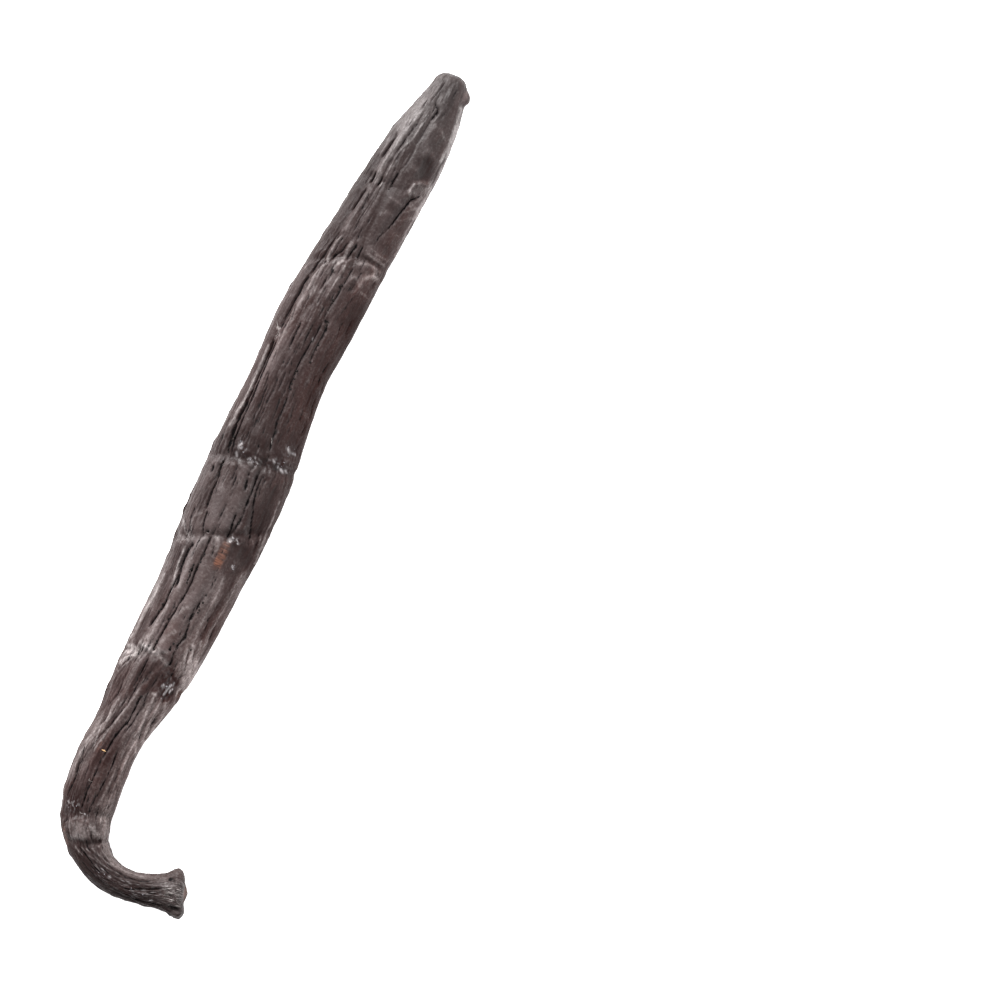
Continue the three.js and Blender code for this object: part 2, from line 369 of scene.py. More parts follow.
# %% Lattice noise
def pod_noise(length, cells, seed, sway=0.0, slant=0.0):
    """Noise from about -1 to 1: cells of this length along the pod, this many of them round it."""
    rng = np.random.default_rng(seed)
    u = (along + 3) / length
    v = angle / (2 * np.pi) * cells + slant * along
    if sway:
        v = v + sway * pod_noise(length * 1.7, max(3, cells // 6), seed + 1)
    slope = rng.uniform(0, 2 * np.pi, (int(u.max()) + 3, cells))
    u0, v0 = np.floor(u).astype(int), np.floor(v).astype(int)
    du, dv = u - u0, v - v0

    def corner(i, j):
        turn = slope[u0 + i, (v0 + j) % cells]
        return np.cos(turn) * (du - i) + np.sin(turn) * (dv - j)

    ease_u, ease_v = (part**3 * (part * (6 * part - 15) + 10) for part in (du, dv))
    near = corner(0, 0) * (1 - ease_v) + corner(0, 1) * ease_v
    far = corner(1, 0) * (1 - ease_v) + corner(1, 1) * ease_v
    return (near * (1 - ease_u) + far * ease_u) * 1.5


# %% [markdown]
# ## Furrows, creases and bumps
# These are the forms that the frame's solid has too: long shallow furrows between the main ribs,
# creases that pinch the pod where it was bent, the nub beside its tip and the knuckles of its neck.
# A furrow is a path of places along and across the pod, and sinks by a bell curve of the distance
# from that path. The skin's furrows are shallower than the solid's, because sharp cracks follow.
# Here and below a path is written as one run of numbers: along, across, along, across.

# %% Main forms
FURROW_FADE, FURROW_SHARE = 2.5, 0.5
FURROWS = [     # depth, width, path
    (.3, .6, 9, -3.9, 13, -4.3, 26, -4, 36, -4.2),
    (.2, .6, 8, -1.3, 14, -2.4, 24, -2.3, 30, -1, 36, -1.7, 46, -2.3, 52, -2.2),
    (.3, .55, 1, .2, 5, -.8, 10, -.3, 20, -.6, 31, .6, 44, .7), (.3, .6, 17, 3.8, 24, 2.8, 29, 1.9),
    (.35, .65, 36, -4.4, 47, -4.7, 60, -4.8, 70, -4.5), (.2, .6, 48, -1.3, 58, -2, 69, -2.2, 76, -2),
    (.35, .6, 42, .6, 54, .4, 62, 1.1, 70, 1.7, 84, 1.3), (.3, .65, 68, 2.2, 73, 2.3, 80, 4.2, 85, 4.8),
    (.3, .6, 70, -4.4, 78, -4.3, 84, -3.1), (.35, .65, 84, -3.8, 89, -4.4, 95, -3.6, 101, -4.3),
    (.35, .6, 82, -1.7, 91, -1.4, 99, -2, 110, -1.2, 120, -2, 126, -2.9),
    (.35, .6, 86, 1.9, 94, 1.2, 99, 1.5, 106, 2.4),
    (.25, .6, 105, 1.4, 114, 1, 121, 1.4, 126, 1.7, 132, .4),
    (.3, .55, 110, -.2, 114, .4, 119, -.2, 126, -.9, 133, -1.4, 141, -.6),
    (.25, .5, 136, 1.2, 143, .2, 151, .3), (.25, .5, 138, -2, 146, -1.7, 153, -1.9),
]
CREASES = [     # depth, width, and where each meets the outer edge, the middle and the hook's edge
    (.2, .8, 20.6, 20.2, 17.6), (.3, .8, 36.9, 33, 31.6), (.5, .85, 70.6, 69.4, 68.8),
    (.4, .85, 85.4, 82.2, 78.5), (.4, .85, 105.6, 103.6, 107.6), (.3, .8, 132.7, 131.6, 131.8),
    (.35, .7, 135.4, 136.6, 137.2),
]
CREASE_UNDERSIDE = 0.2
UNDER_RIB_HEIGHT, UNDER_RIB_COUNT, UNDER_RIB_DRIFT = 0.22, 9, 0.045
BUMPS = [       # distance along, angle round from the outer edge, height, spread
    (2.2, 176, 0.8, 1.05),      # nub beside the tip
    (128.9, 10, 0.22, 1.3),     # knuckles of the neck
    (132.4, 10, 0.28, 1.0),
]


def crease_distance(edges):
    """Distance along the pod from a crease that slants across it."""
    outer, middle, inner = edges
    return along - np.where(side < 0, middle + (outer - middle) * -side, middle + (inner - middle) * side)


def main_forms():
    """Height of the skin over the plain pod, in millimetres, for the forms that the solid has."""
    height = np.zeros(len(along))
    for depth, width, *path in FURROWS:
        path_along, path_across = np.reshape(path, (-1, 2)).T
        inside = np.minimum(along - path_along[0], path_along[-1] - along)
        fade = FURROW_SHARE * upper * smoothstep(inside, 0, FURROW_FADE)
        height -= fade * depth * bell(across - np.interp(along, path_along, path_across), width)
    share = CREASE_UNDERSIDE + (1 - CREASE_UNDERSIDE) * smoothstep(lift, 0, 0.6)
    for depth, width, *edges in CREASES:
        height -= share * depth * bell(crease_distance(edges), width)
    for place, degrees, bump, spread in BUMPS:
        reach = np.hypot(along - place, (angle - math.radians(degrees)) * width_here)
        height += bump * np.exp(-((reach / spread) ** 3))
    ribs = np.cos(UNDER_RIB_COUNT * angle + UNDER_RIB_DRIFT * along)
    return height + UNDER_RIB_HEIGHT * np.maximum(0, -lift) * ribs


form = main_forms()
print("main forms from", np.round(form.min(), 2), "to", np.round(form.max(), 2), "mm")

# %% [markdown]
# ## Drawing on the skin
# Everything finer is drawn on the upper skin like pencil strokes: a path of places along and across
# the pod, and a width. A curve object projected on the mesh would work too, but an array of
# distances to a path is quicker and gives a soft edge for free. The places wander a little by noise,
# so that no stroke is ruler-straight, and least along the two straight cracks of the outer flank.
# A slip table moves the whole drawing by a few tenths of a millimetre, which sets it right on the
# finished bends without a new number for every stroke.

# %% Distance from a path
WANDER = 0.11
SLIP = np.array([       # distance along, and how far the drawing slips along and across there
    (0, .4, .2), (20, .45, .28), (32, .25, .3), (45, -.15, .42), (62, 0, .45), (72, .15, .33),
    (85, .05, .25), (103, .1, .28), (113, -.2, .36), (121, -.1, .25), (129, -.1, .1), (136, -.1, -.1),
    (156, -.05, -.15),
])
slip_along, slip_across = (np.interp(along, SLIP[:, 0], SLIP[:, column]) for column in (1, 2))
straight = between(along, 44, 50, 66, 70) * smoothstep(-across, 2.5, 3.5)
wander = WANDER * (1 - 0.65 * straight)
drawn = np.column_stack([along - slip_along + 1.3 * wander * pod_noise(1.5, 34, 22),
                         across - slip_across + wander * pod_noise(2.1, 30, 23)])
waver = np.clip(1.2 * pod_noise(1.3, 44, 21) + 0.9 * pod_noise(0.8, 70, 25), -1, 1)


def near_path(path, reach):
    """Upper points near a path: which, how far off, how far to its left, how far inside its ends,
    and the path's whole length."""
    path = np.reshape(path, (-1, 2)).astype(float)
    low, high = path.min(0) - reach, path.max(0) + reach
    near = np.flatnonzero((drawn > low).all(1) & (drawn < high).all(1) & (upper > 0))
    off, left, inside = np.full(len(near), 99.0), np.zeros(len(near)), np.zeros(len(near))
    steps = np.diff(path, axis=0)
    lengths = np.hypot(*steps.T)
    passed, total = 0.0, lengths.sum()
    for start, step, length in zip(path, steps, lengths):
        gap = drawn[near] - start
        share = np.clip(gap @ step / length**2, 0, 1)
        gap = gap - share[:, None] * step
        distance = np.hypot(*gap.T)
        closer = distance < off
        here = passed + share * length
        off[closer] = distance[closer]
        left[closer] = (step[0] * gap[:, 1] - step[1] * gap[:, 0])[closer] / length
        inside[closer] = np.minimum(here, total - here)[closer]
        passed += length
    return near, off, left, inside, total


def raise_to(field, near, values):
    """Writes the values where they are more than what the field has."""
    field[near] = np.maximum(field[near], values)


BELL_END = 2.2      # past this many widths a bell curve is next to nothing
STROKE_MARGIN = 0.3
print("strokes wander by up to", np.round(np.abs(drawn[:, 1] - across).max(), 2), "mm")

# %% [markdown]
# ## Cracks in the skin
# A cured pod's skin splits into long dark cracks, and seeds show in the deepest ones. Noise alone
# makes them too even, so the cracks of the upper side are listed one path each, and the
# deeper pits beside them as very short ones. A crack is a narrow groove with slightly raised lips.
# Its width wavers, and it keeps its depth in a mask that the finish paints black, partly for the
# dark seed paste inside and partly as painted shade of the groove. The skin beside a crack is
# painted darker too, as painted shade, so a wider mask is kept as a halo.

# %% The cracks: depth, half width, path
CRACKS = [
    # round the tip
    (.34, .2, 4.3, -1.35, 4.8, -1, 5.2, -.4, 6, -.05, 6.8, -.35, 7.8, -.45),
    (.17, .15, 7.2, -.45, 9.7, -.42, 12.2, -.35), (.16, .12, 1, 1.35, 2.2, 1.15, 3.4, .95),
    (.18, .13, 4.8, 1.2, 6.3, .8, 7.4, .4), (.08, .13, .4, -.9, 2.6, -1.5, 5, -1.9),
    (.18, .13, 12.2, -.35, 15.6, -.25, 17, -.6), (.34, .15, 16.9, -.6, 18.3, -.7, 20.4, -.65),
    (.2, .14, 16.9, -1.4, 17.5, -1.25),
    # left flank
    (.42, .19, 11.6, -4.45, 12.2, -4.2, 14, -4.1, 16.6, -4.3),
    (.36, .2, 18.6, -3.9, 19.8, -3.85, 21.2, -3.8), (.3, .18, 21.7, -3.8, 23.2, -3.95, 26.6, -4.15),
    (.14, .14, 6.6, -2, 9, -2, 10.4, -2.2, 12.4, -2.35), (.14, .14, 8.6, -2.2, 11, -2.3),
    (.22, .14, 11.2, -2.3, 13, -2.5, 15, -2.75), (.1, .12, 15, -2.7, 17, -2.6, 19, -2.55),
    (.32, .16, 18.8, -2.6, 21, -2.6), (.16, .1, 21.1, -2.2, 23, -2.1, 26.8, -2.3, 29.2, -2),
    (.4, .18, 30.1, -.75, 31.2, -.5, 32.6, -.7, 34, -.9),
    (.24, .13, 29.8, -3.9, 31, -4.2, 34.4, -4.4, 39, -4.9),
    (.24, .16, 30.4, -3.3, 30.9, -3.7, 31.8, -3.9),
    (.28, .15, 31.6, -1.9, 32.8, -2.2, 34, -2.8, 35.2, -3),
    (.2, .13, 30.4, -1.5, 31.6, -2.1, 33.4, -2.2), (.24, .13, 27.6, -1.2, 29.2, -1.05, 30.2, -.95),
    (.18, .12, 35, -2.2, 36.2, -2.1, 36.6, -1.6, 36.2, -1, 35, -.9),
    (.24, .13, 37.4, -2.05, 38.6, -2.1, 40.2, -2.1), (.34, .2, 42.8, -2.15, 43.1, -2.15),
    (.34, .14, 44.2, .7, 44.2, 1.4, 44.3, 2.1), (.22, .13, 38.6, -1.5, 41, -1.4, 42.6, -1.5),
    (.24, .13, 39, -.35, 42, -.3, 44.6, -.35, 47, -.5, 50, -.3),
    (.2, .12, 33.4, 2.2, 35.6, 2.3, 38.4, 2.3), (.18, .12, 38.2, 3.1, 40.4, 3, 42.2, 2.7),
    (.2, .12, 52.4, -2.1, 53.4, -2), (.2, .12, 48.6, -1, 50.6, -1.1, 53, -1.4, 54.6, -1.6),
    (.18, .12, 56.6, -2.9, 59.4, -2.8, 61.8, -2.9, 64, -2.7),
    (.18, .12, 61.6, -2.1, 64.6, -2.3, 67, -2.3), (.18, .12, 56, 0, 59, -.1, 62.6, 0, 66, .2),
    (.18, .12, 62.4, -.7, 65, -.7), (.2, .12, 69.8, 2.9, 71.6, 2.7, 73.6, 2.6),
    (.24, .16, 72, -6.1, 73.6, -5.9), (.2, .14, 66.4, -6.6, 68.6, -6.5, 69.8, -6.2),
    (.34, .19, 38.6, -4.95, 41, -5, 43.6, -5.05, 46.3, -5.05, 48.7, -5),
    (.5, .22, 50.2, -5.1, 53.5, -5, 57.4, -4.95, 61, -5, 64.1, -5.35, 66, -5.2, 69.8, -4.7),
    (.5, .32, 61.6, -5.1, 64.1, -5.3, 66, -5.2, 69, -4.9),
    (.32, .14, 50.2, -4.5, 53.5, -4.6, 56, -4.45, 60, -4.4, 64.1, -4.45, 67.4, -4.45, 69.4, -4),
    (.34, .2, 59.4, -4.3, 60.8, -4.45),
    # across the upper face, tip to the second crease
    (.36, .18, 18.3, 4.5, 19.1, 4, 19.9, 3.4, 21, 3.2, 23, 2.95, 25, 2.65, 26.4, 2.3),
    (.26, .13, 25.6, 2.5, 27, 2.05, 29.6, 1.7), (.18, .11, 26.4, 1.2, 28.2, .9, 29.2, .6),
    (.4, .17, 29.5, .3, 31, .5, 32.6, .65),
    (.3, .13, 33.1, .9, 36, .85, 38, .8, 41, .75, 42.6, .5, 44.3, .75),
    (.42, .15, 44.3, .75, 47.4, .75, 49.2, .6, 51.3, .35, 55.8, .45, 57.4, .85),
    (.38, .14, 57.4, .85, 60, .95, 62, .9, 64.4, 1.2, 67.2, 1.6, 69, 1.7),
    (.26, .18, 44.3, 1.7, 46.3, 1.8, 49.1, 1.7, 51.3, 1.9), (.28, .18, 46, -2.3, 48.6, -2.2, 51, -2.1),
    (.2, .13, 42.4, -2.1, 43.1, -2.15), (.16, .1, 51.3, -1.35, 54.9, -1.5),
    (.2, .2, 53.6, -1.05, 57.6, -1), (.2, .12, 55, -1.9, 58, -1.75, 60.2, -1.8, 64, -2),
    (.18, .12, 57.6, -2.4, 62, -2.35, 66.4, -2.35), (.22, .11, 50.2, 4.4, 52.4, 4.4, 54.4, 4.55),
    (.18, .11, 52.7, 5.2, 54.9, 5.35), (.14, .1, 54.9, 1.5, 57.6, 1.65, 60.4, 1.6),
    (.3, .14, 65.6, -.7, 67, -.35, 68.6, -.45),
    # between the second and the third crease
    (.36, .19, 70, -4.9, 71.6, -4.8, 73.7, -4.5, 76.4, -4.5, 79.4, -4.2),
    (.34, .26, 71.4, -5, 71.9, -4.7), (.34, .26, 76.2, -4.7, 76.7, -4.4),
    (.34, .24, 78.1, -4.5, 78.6, -4.3), (.3, .2, 72, -6, 73.4, -5.9),
    (.28, .13, 79, -3.85, 80.7, -3.7, 82.4, -3.3, 83.5, -2.9),
    (.24, .13, 70.1, -2.25, 71.6, -2.2, 73.6, -2.3), (.26, .13, 71.6, -1.9, 73.4, -1.75, 74.8, -1.65),
    (.22, .24, 76.6, -1.5, 78, -1.5, 80.6, -1.5), (.44, .2, 69.4, .1, 71.3, .05, 72.6, .15, 74.8, .35),
    (.42, .2, 77.6, .65, 79.6, .7, 80.6, .95, 82.4, .85),
    (.44, .18, 69.6, 1.3, 72.7, 1.45, 76, 1.65, 78.5, 1.7, 80, 1.45, 81.8, 1.25),
    (.38, .14, 70.2, 2.3, 72.7, 2.05, 74.4, 2.3, 77.7, 3.25, 80.2, 4.2, 82, 4.5),
    (.24, .12, 79.2, -6, 81.5, -5.8, 82.9, -5.4, 83.8, -4.7, 84.8, -4.1),
    (.18, .11, 81.6, -6.7, 83.2, -6.1, 84.4, -5.1),
    # between the third and the fourth crease
    (.44, .15, 82.7, -1.55, 86.3, -1.6, 89, -1.5, 91, -1.3, 93.8, -1.45, 98.2, -1.9, 103.4, -2),
    (.22, .11, 82.8, -1.3, 83.5, -.8, 84.6, -.35, 86.3, .05, 87.1, .3),
    (.46, .31, 84.6, -3.8, 85.7, -4, 87.1, -4.2, 88.8, -4.1, 90.4, -3.85, 91.8, -3.4, 93, -3.3),
    (.22, .1, 86.6, -4.4, 89, -4.45, 91, -3.9),
    (.36, .18, 91, -3.85, 93.8, -3.9, 95.4, -3.7, 97.1, -3.85, 99, -4.15, 100.6, -4.3),
    (.2, .12, 88.5, -5.2, 91.8, -4.95),
    (.4, .19, 91, 1.95, 92.1, 1.7, 93.2, 1.3, 96.6, 1.15, 97.9, 1.45, 99.1, 1.8, 101.6, 1.15),
    (.2, .11, 87.1, 1.85, 89.3, 2, 91.2, 1.95),
    (.38, .14, 101.4, 1.2, 102.8, 1.3, 103.5, 1.65, 104.8, 1.6),
    (.2, .12, 93.2, 1, 95.2, .9, 98.2, .8, 100.2, .6), (.26, .15, 100.2, .6, 101.6, .4, 102.4, .45),
    (.26, .13, 102.7, 2.3, 104.1, 2.55, 105.4, 2.8, 106.8, 2.55),
    (.24, .12, 87.8, -2.3, 89.9, -2, 91.4, -2.05), (.14, .1, 94.8, .35, 96.6, .1, 99, .2),
    # pits beside the cracks
    (.36, .3, 82.1, -2.5, 82.6, -2.45), (.4, .32, 88.8, -2.2, 89.3, -2.1),
    (.4, .34, 90.8, -1.45, 91.2, -1.3), (.4, .3, 93.4, -1.55, 93.9, -1.5),
    (.4, .3, 97.6, -2.15, 98.1, -2.1), (.4, .34, 101.8, .45, 102.3, .45),
    (.4, .26, 99.1, 1.6, 99.7, 1.75), (.4, .22, 102.9, -1.95, 103.4, -1.8),
    (.34, .32, 100.4, 3.5, 100.9, 3.55), (.4, .34, 93, 1.3, 93.4, 1.35), (.4, .32, 94, 1.5, 94.2, 1.1),
    (.4, .32, 37.8, .6, 38.2, .65), (.36, .22, 32.3, .7, 32.6, .7), (.4, .3, 45.3, 1.8, 45.8, 1.85),
    (.4, .3, 48.6, 1.75, 49, 1.8), (.4, .22, 47.2, -2.3, 47.6, -2.3), (.4, .22, 48.8, -2.25, 49.2, -2.2),
    # the narrowing body
    (.22, .14, 104.6, -2, 107.9, -1.9, 110.6, -1.85),
    (.22, .12, 105.4, -1.5, 107.9, -1.5, 111, -1.35, 113.5, -1.4, 115.4, -1.7, 118, -1.95),
    (.26, .11, 106.3, .9, 109.3, .65, 112.1, .95, 114.9, 1, 117.4, .85),
    (.38, .18, 110.7, -.1, 112.4, .1, 115.6, .3, 117, -.05, 119, -.2, 122.7, -.3),
    (.32, .12, 122.7, -.3, 124.9, -.45, 128.6, -.85, 130.2, -.85, 131.4, -1.2),
    (.3, .13, 119.7, 1.15, 121.1, 1.45, 123, 1.7, 126.6, 1.3, 128.6, .9, 130.8, .35, 133, .5),
    (.28, .14, 123.3, -3.4, 125.2, -3.55, 126.9, -3.4, 128.6, -3.7, 131, -3.8),
    (.18, .11, 117.2, -1.8, 119.4, -2.4, 122.4, -2.95), (.22, .12, 130, 1.85, 131.9, 1.7, 133.2, 1.65),
    (.22, .13, 109.3, -4.1, 111.3, -3.55, 113.2, -3.6, 115.4, -4.05),
    (.16, .11, 110.4, 3.6, 113.4, 3.7, 117.4, 4.1),
    (.16, .11, 109.8, 2.4, 113, 2.6, 116.6, 3.1, 118.6, 3.7), (.14, .1, 126.5, 2.9, 130, 2.8, 133, 2.4),
    # the hook
    (.26, .14, 132.4, -3, 133.6, -3.5, 134.6, -3.6), (.22, .13, 134.4, 1.4, 135.6, 1, 136.6, .9),
    (.26, .14, 135.6, 0, 137.2, -.1, 138.4, .3), (.26, .13, 136.6, -1.6, 138, -.9, 139.4, -.5, 142, -.4),
    (.2, .12, 138.4, -2, 140.6, -1.5, 143.4, -1.6),
    (.3, .15, 144.4, -1.95, 148, -2, 150.8, -2.1, 152.6, -2.2),
    (.28, .18, 145.6, -.6, 148.3, .05, 150.2, .5, 152.2, .9),
    (.22, .13, 140.6, 1.4, 143.4, 1.5, 146.6, 1.4, 150.2, 1.6),
]
print(len(CRACKS), "cracks laid by hand")

# %% Fine cracks by chance
FINE_CRACKS = 300
CHANCE_SHARES = [0, 0.03, 0.12, 0.50, 0.66, 0.90, 1]    # share of them before each of these places
CHANCE_PLACES = [5, 12, 32, 70, 103, 135, 151]
chance = np.random.default_rng(17)


def short_paths(count):
    """Short, nearly lengthwise paths by chance, dense where the skin is most wrinkled."""
    paths = []
    for place in np.interp(chance.uniform(0, 1, count), CHANCE_SHARES, CHANCE_PLACES):
        half = girth_at(np.array([place]))[0][0]
        steps = place + chance.uniform(1.2, 4.5) * np.array([-0.5, -0.15, 0.15, 0.5])
        middle = chance.uniform(-0.85, 0.85) * half
        path = middle + (steps - place) * chance.normal(0, 0.07) + chance.normal(0, 0.05, 4)
        if middle < -0.4 or place > 32:         # the flat facets beside the tip stay whole
            paths.append(np.column_stack([steps, path]).ravel())
    return paths


fine_cracks = [(chance.uniform(0.08, 0.20), chance.uniform(0.10, 0.15), *path)
               for path in short_paths(FINE_CRACKS)]
print(len(fine_cracks), "fine cracks by chance")

# %% Press the cracks in
CRACK_REACH, CRACK_FADE, CRACK_WAVER, CRACK_WIDTH_SHARE = 1.8, 0.8, 0.8, 0.78
CORE_SHARE, CORE_WIDTH = 0.43, 0.1      # a shallow crack is black over this share of its width only
# Black in the cracks is partly the seed paste and partly painted shade, blacker the deeper the crack.
BLACK_FROM, BLACK_DEPTH = 0.25, 0.5     # how black the shallowest cracks are, and the depth of black ones
GROOVE_SHADE_DEPTH = 0.4                        # cracks this deep have a full halo
LIP_PLACE, LIP_WIDTH, LIP_HEIGHT = 2.3, 1.2, 0.12
GROOVE_SHADE_WIDTH, SHOULDER_WIDTH, SHOULDER_SHARE = 0.30, 0.70, 0.28
crack_depth, crack_lips, crack_paste_and_shade, painted_groove_shade, shoulder = np.zeros((5, len(along)))
for depth, width, *path in CRACKS + fine_cracks:
    width = CRACK_WIDTH_SHARE * width
    near, off, _, inside, length = near_path(path, CRACK_REACH)
    fade = upper[near] * smoothstep(inside, 0, min(CRACK_FADE, 0.3 * length))
    wavering = 1 + CRACK_WAVER * waver[near]
    core_width = max(min(width, CORE_WIDTH), width * (CORE_SHARE + depth))
    core = bell(off, core_width * wavering)
    lips = bell(off - LIP_PLACE * width, LIP_WIDTH * width)
    raise_to(crack_depth, near, depth * fade * bell(off, width * wavering))
    raise_to(crack_lips, near, LIP_HEIGHT * depth * fade * lips)
    raise_to(crack_paste_and_shade, near, fade * core * min(1.0, BLACK_FROM + depth / BLACK_DEPTH))
    raise_to(painted_groove_shade, near, fade * min(1, depth / GROOVE_SHADE_DEPTH) * bell(off, GROOVE_SHADE_WIDTH))
    raise_to(shoulder, near, depth * fade * bell(off, SHOULDER_WIDTH))
crack_relief = crack_lips * (1 - crack_paste_and_shade) - crack_depth - SHOULDER_SHARE * shoulder
print("cracked share of the skin:", np.round((crack_paste_and_shade > 0.4).mean(), 3))

# %% [markdown]
# ## Folds where the pod was bent
# At a cross crease every rib bulges on its own. Its front rises steeply out of the crease and runs
# out gently behind, like the edge of a cushion. Such a front is a path again. The skin stands up on
# the left of the path and falls off with distance, and a pale line along the front's upper edge is
# painted into the colour as a highlight.

# %% Rib fronts: height, reach behind the front, path with the rib on its left
FRONTS = [
    (.22, 1.4, 34.9, .3, 33.3, .15, 33, -.3, 33.3, -.8, 34.3, -1.2),
    (.34, 1.4, 35.9, -2.3, 35.5, -3, 36, -3.6, 37.4, -4, 39.6, -4.15),
    (.26, 1.1, 34.6, -.8, 33.9, -1.1, 34.6, -1.6, 35.6, -2, 36.8, -2.1),
    (.3, 1, 33.4, 5, 32.6, 4.2, 32.2, 3, 32.4, 2, 33.4, 1),
    (.26, .9, 33.8, 5.2, 33.5, 4.3, 34.2, 3.4, 36.2, 3, 38, 2.8),
    (.22, .8, 35.6, 2.6, 35.1, 2, 35.6, 1.4, 36.8, 1.2),
    (.6, 1.2, 16.7, 5, 16.2, 4.2, 16.5, 3.1, 17.4, 2.4, 18.9, 2.2, 19.8, 2.8),
    (.3, 1.5, 8.9, 3.2, 8.1, 2.1, 7.7, .9, 7.6, .3), (.28, 1.5, 12.8, 3.8, 11.8, 2.5, 11.5, 1.2),
    (.26, 1.5, 15.8, 2.6, 15.2, 1.4, 15, .2), (.26, 1.6, 21.2, 2.8, 21.3, 1.4, 21.1, 0),
    (.2, 1.5, 23.2, 2.4, 23.7, .9, 24.8, -.6), (.18, 1.2, 26.6, 4.8, 26.1, 3.6, 26.6, 2.8),
    (.16, 1.6, 71.6, -2.4, 70.4, -2.6, 70, -3.2, 70.4, -3.8, 71.6, -4.15),
    (.14, 1.6, 71.2, -.15, 70.2, -.4, 69.9, -1.2, 70.3, -1.9, 71.2, -2.05),
    (.14, 1.4, 71, 1.2, 69.8, 1.1, 69.6, .7, 70.3, .25, 71.4, .2),
    (.16, 1.5, 70.8, 6, 69.8, 5.2, 69.3, 4, 69.5, 2.9, 70.6, 2.45),
    (.18, 1.3, 70.7, -5.1, 70.2, -5.7, 70.6, -6.6),
    (.12, 1.5, 84.4, .1, 83, 0, 82.3, -.5, 82.4, -1.1, 83.4, -1.3),
    (.16, 1.6, 84.2, -1.8, 82.9, -1.9, 83.1, -2.6, 84.2, -3.2, 86.2, -3.6),
    (.14, 1.2, 84.4, -3.7, 83.6, -4.7, 82.4, -5.3, 81, -5.2, 80, -4.6),
    (.2, .9, 85, -4.6, 84.8, -5.6, 84.1, -6.6),
    (.16, 1.3, 101.4, -1.6, 102.4, -1.3, 102.8, -.6, 102.5, .2, 101.2, .5),
    (.14, 1.2, 105.6, .9, 104.4, .9, 103.9, .2, 104.2, -.9, 105.4, -1.3),
    (.14, 1, 104.3, -5.8, 104.1, -4.4, 104.2, -3.4), (.16, 1.1, 97.6, -1.4, 96, -1.3, 94.7, -.7, 94, .3),
    (.16, 1.1, 101.2, -1.5, 99.5, -1, 98.6, -.2),
    (.22, 1.2, 134.2, .6, 132.8, .2, 132.3, -.6, 132.5, -1.8, 133.4, -2.8),
    (.22, .9, 137.5, 2.8, 137.2, 1.5, 137, .3),
]
FRONT_SHARE, FRONT_FADE = 0.8, 0.7
# The painted highlight along a front's upper edge: its place, its width, and the front height that makes it
# full.
FRONT_HIGHLIGHT_PLACE, FRONT_HIGHLIGHT_WIDTH, FRONT_HIGHLIGHT_HEIGHT = 0.15, 0.18, 0.3     # the pale line along a front's upper edge
front_relief, front_painted_highlight = np.zeros((2, len(along)))
for height, reach, *path in FRONTS:
    near, off, left, inside, _ = near_path(path, BELL_END * reach)
    fade = upper[near] * smoothstep(inside, 0, FRONT_FADE)
    front_relief[near] += FRONT_SHARE * height * fade * smoothstep(left, -0.12, 0.15) * bell(off, reach)
    raise_to(front_painted_highlight, near, height / FRONT_HIGHLIGHT_HEIGHT * fade * bell(left - FRONT_HIGHLIGHT_PLACE, FRONT_HIGHLIGHT_WIDTH))
print(len(FRONTS), "rib fronts, up to", np.round(front_relief.max(), 2), "mm high")
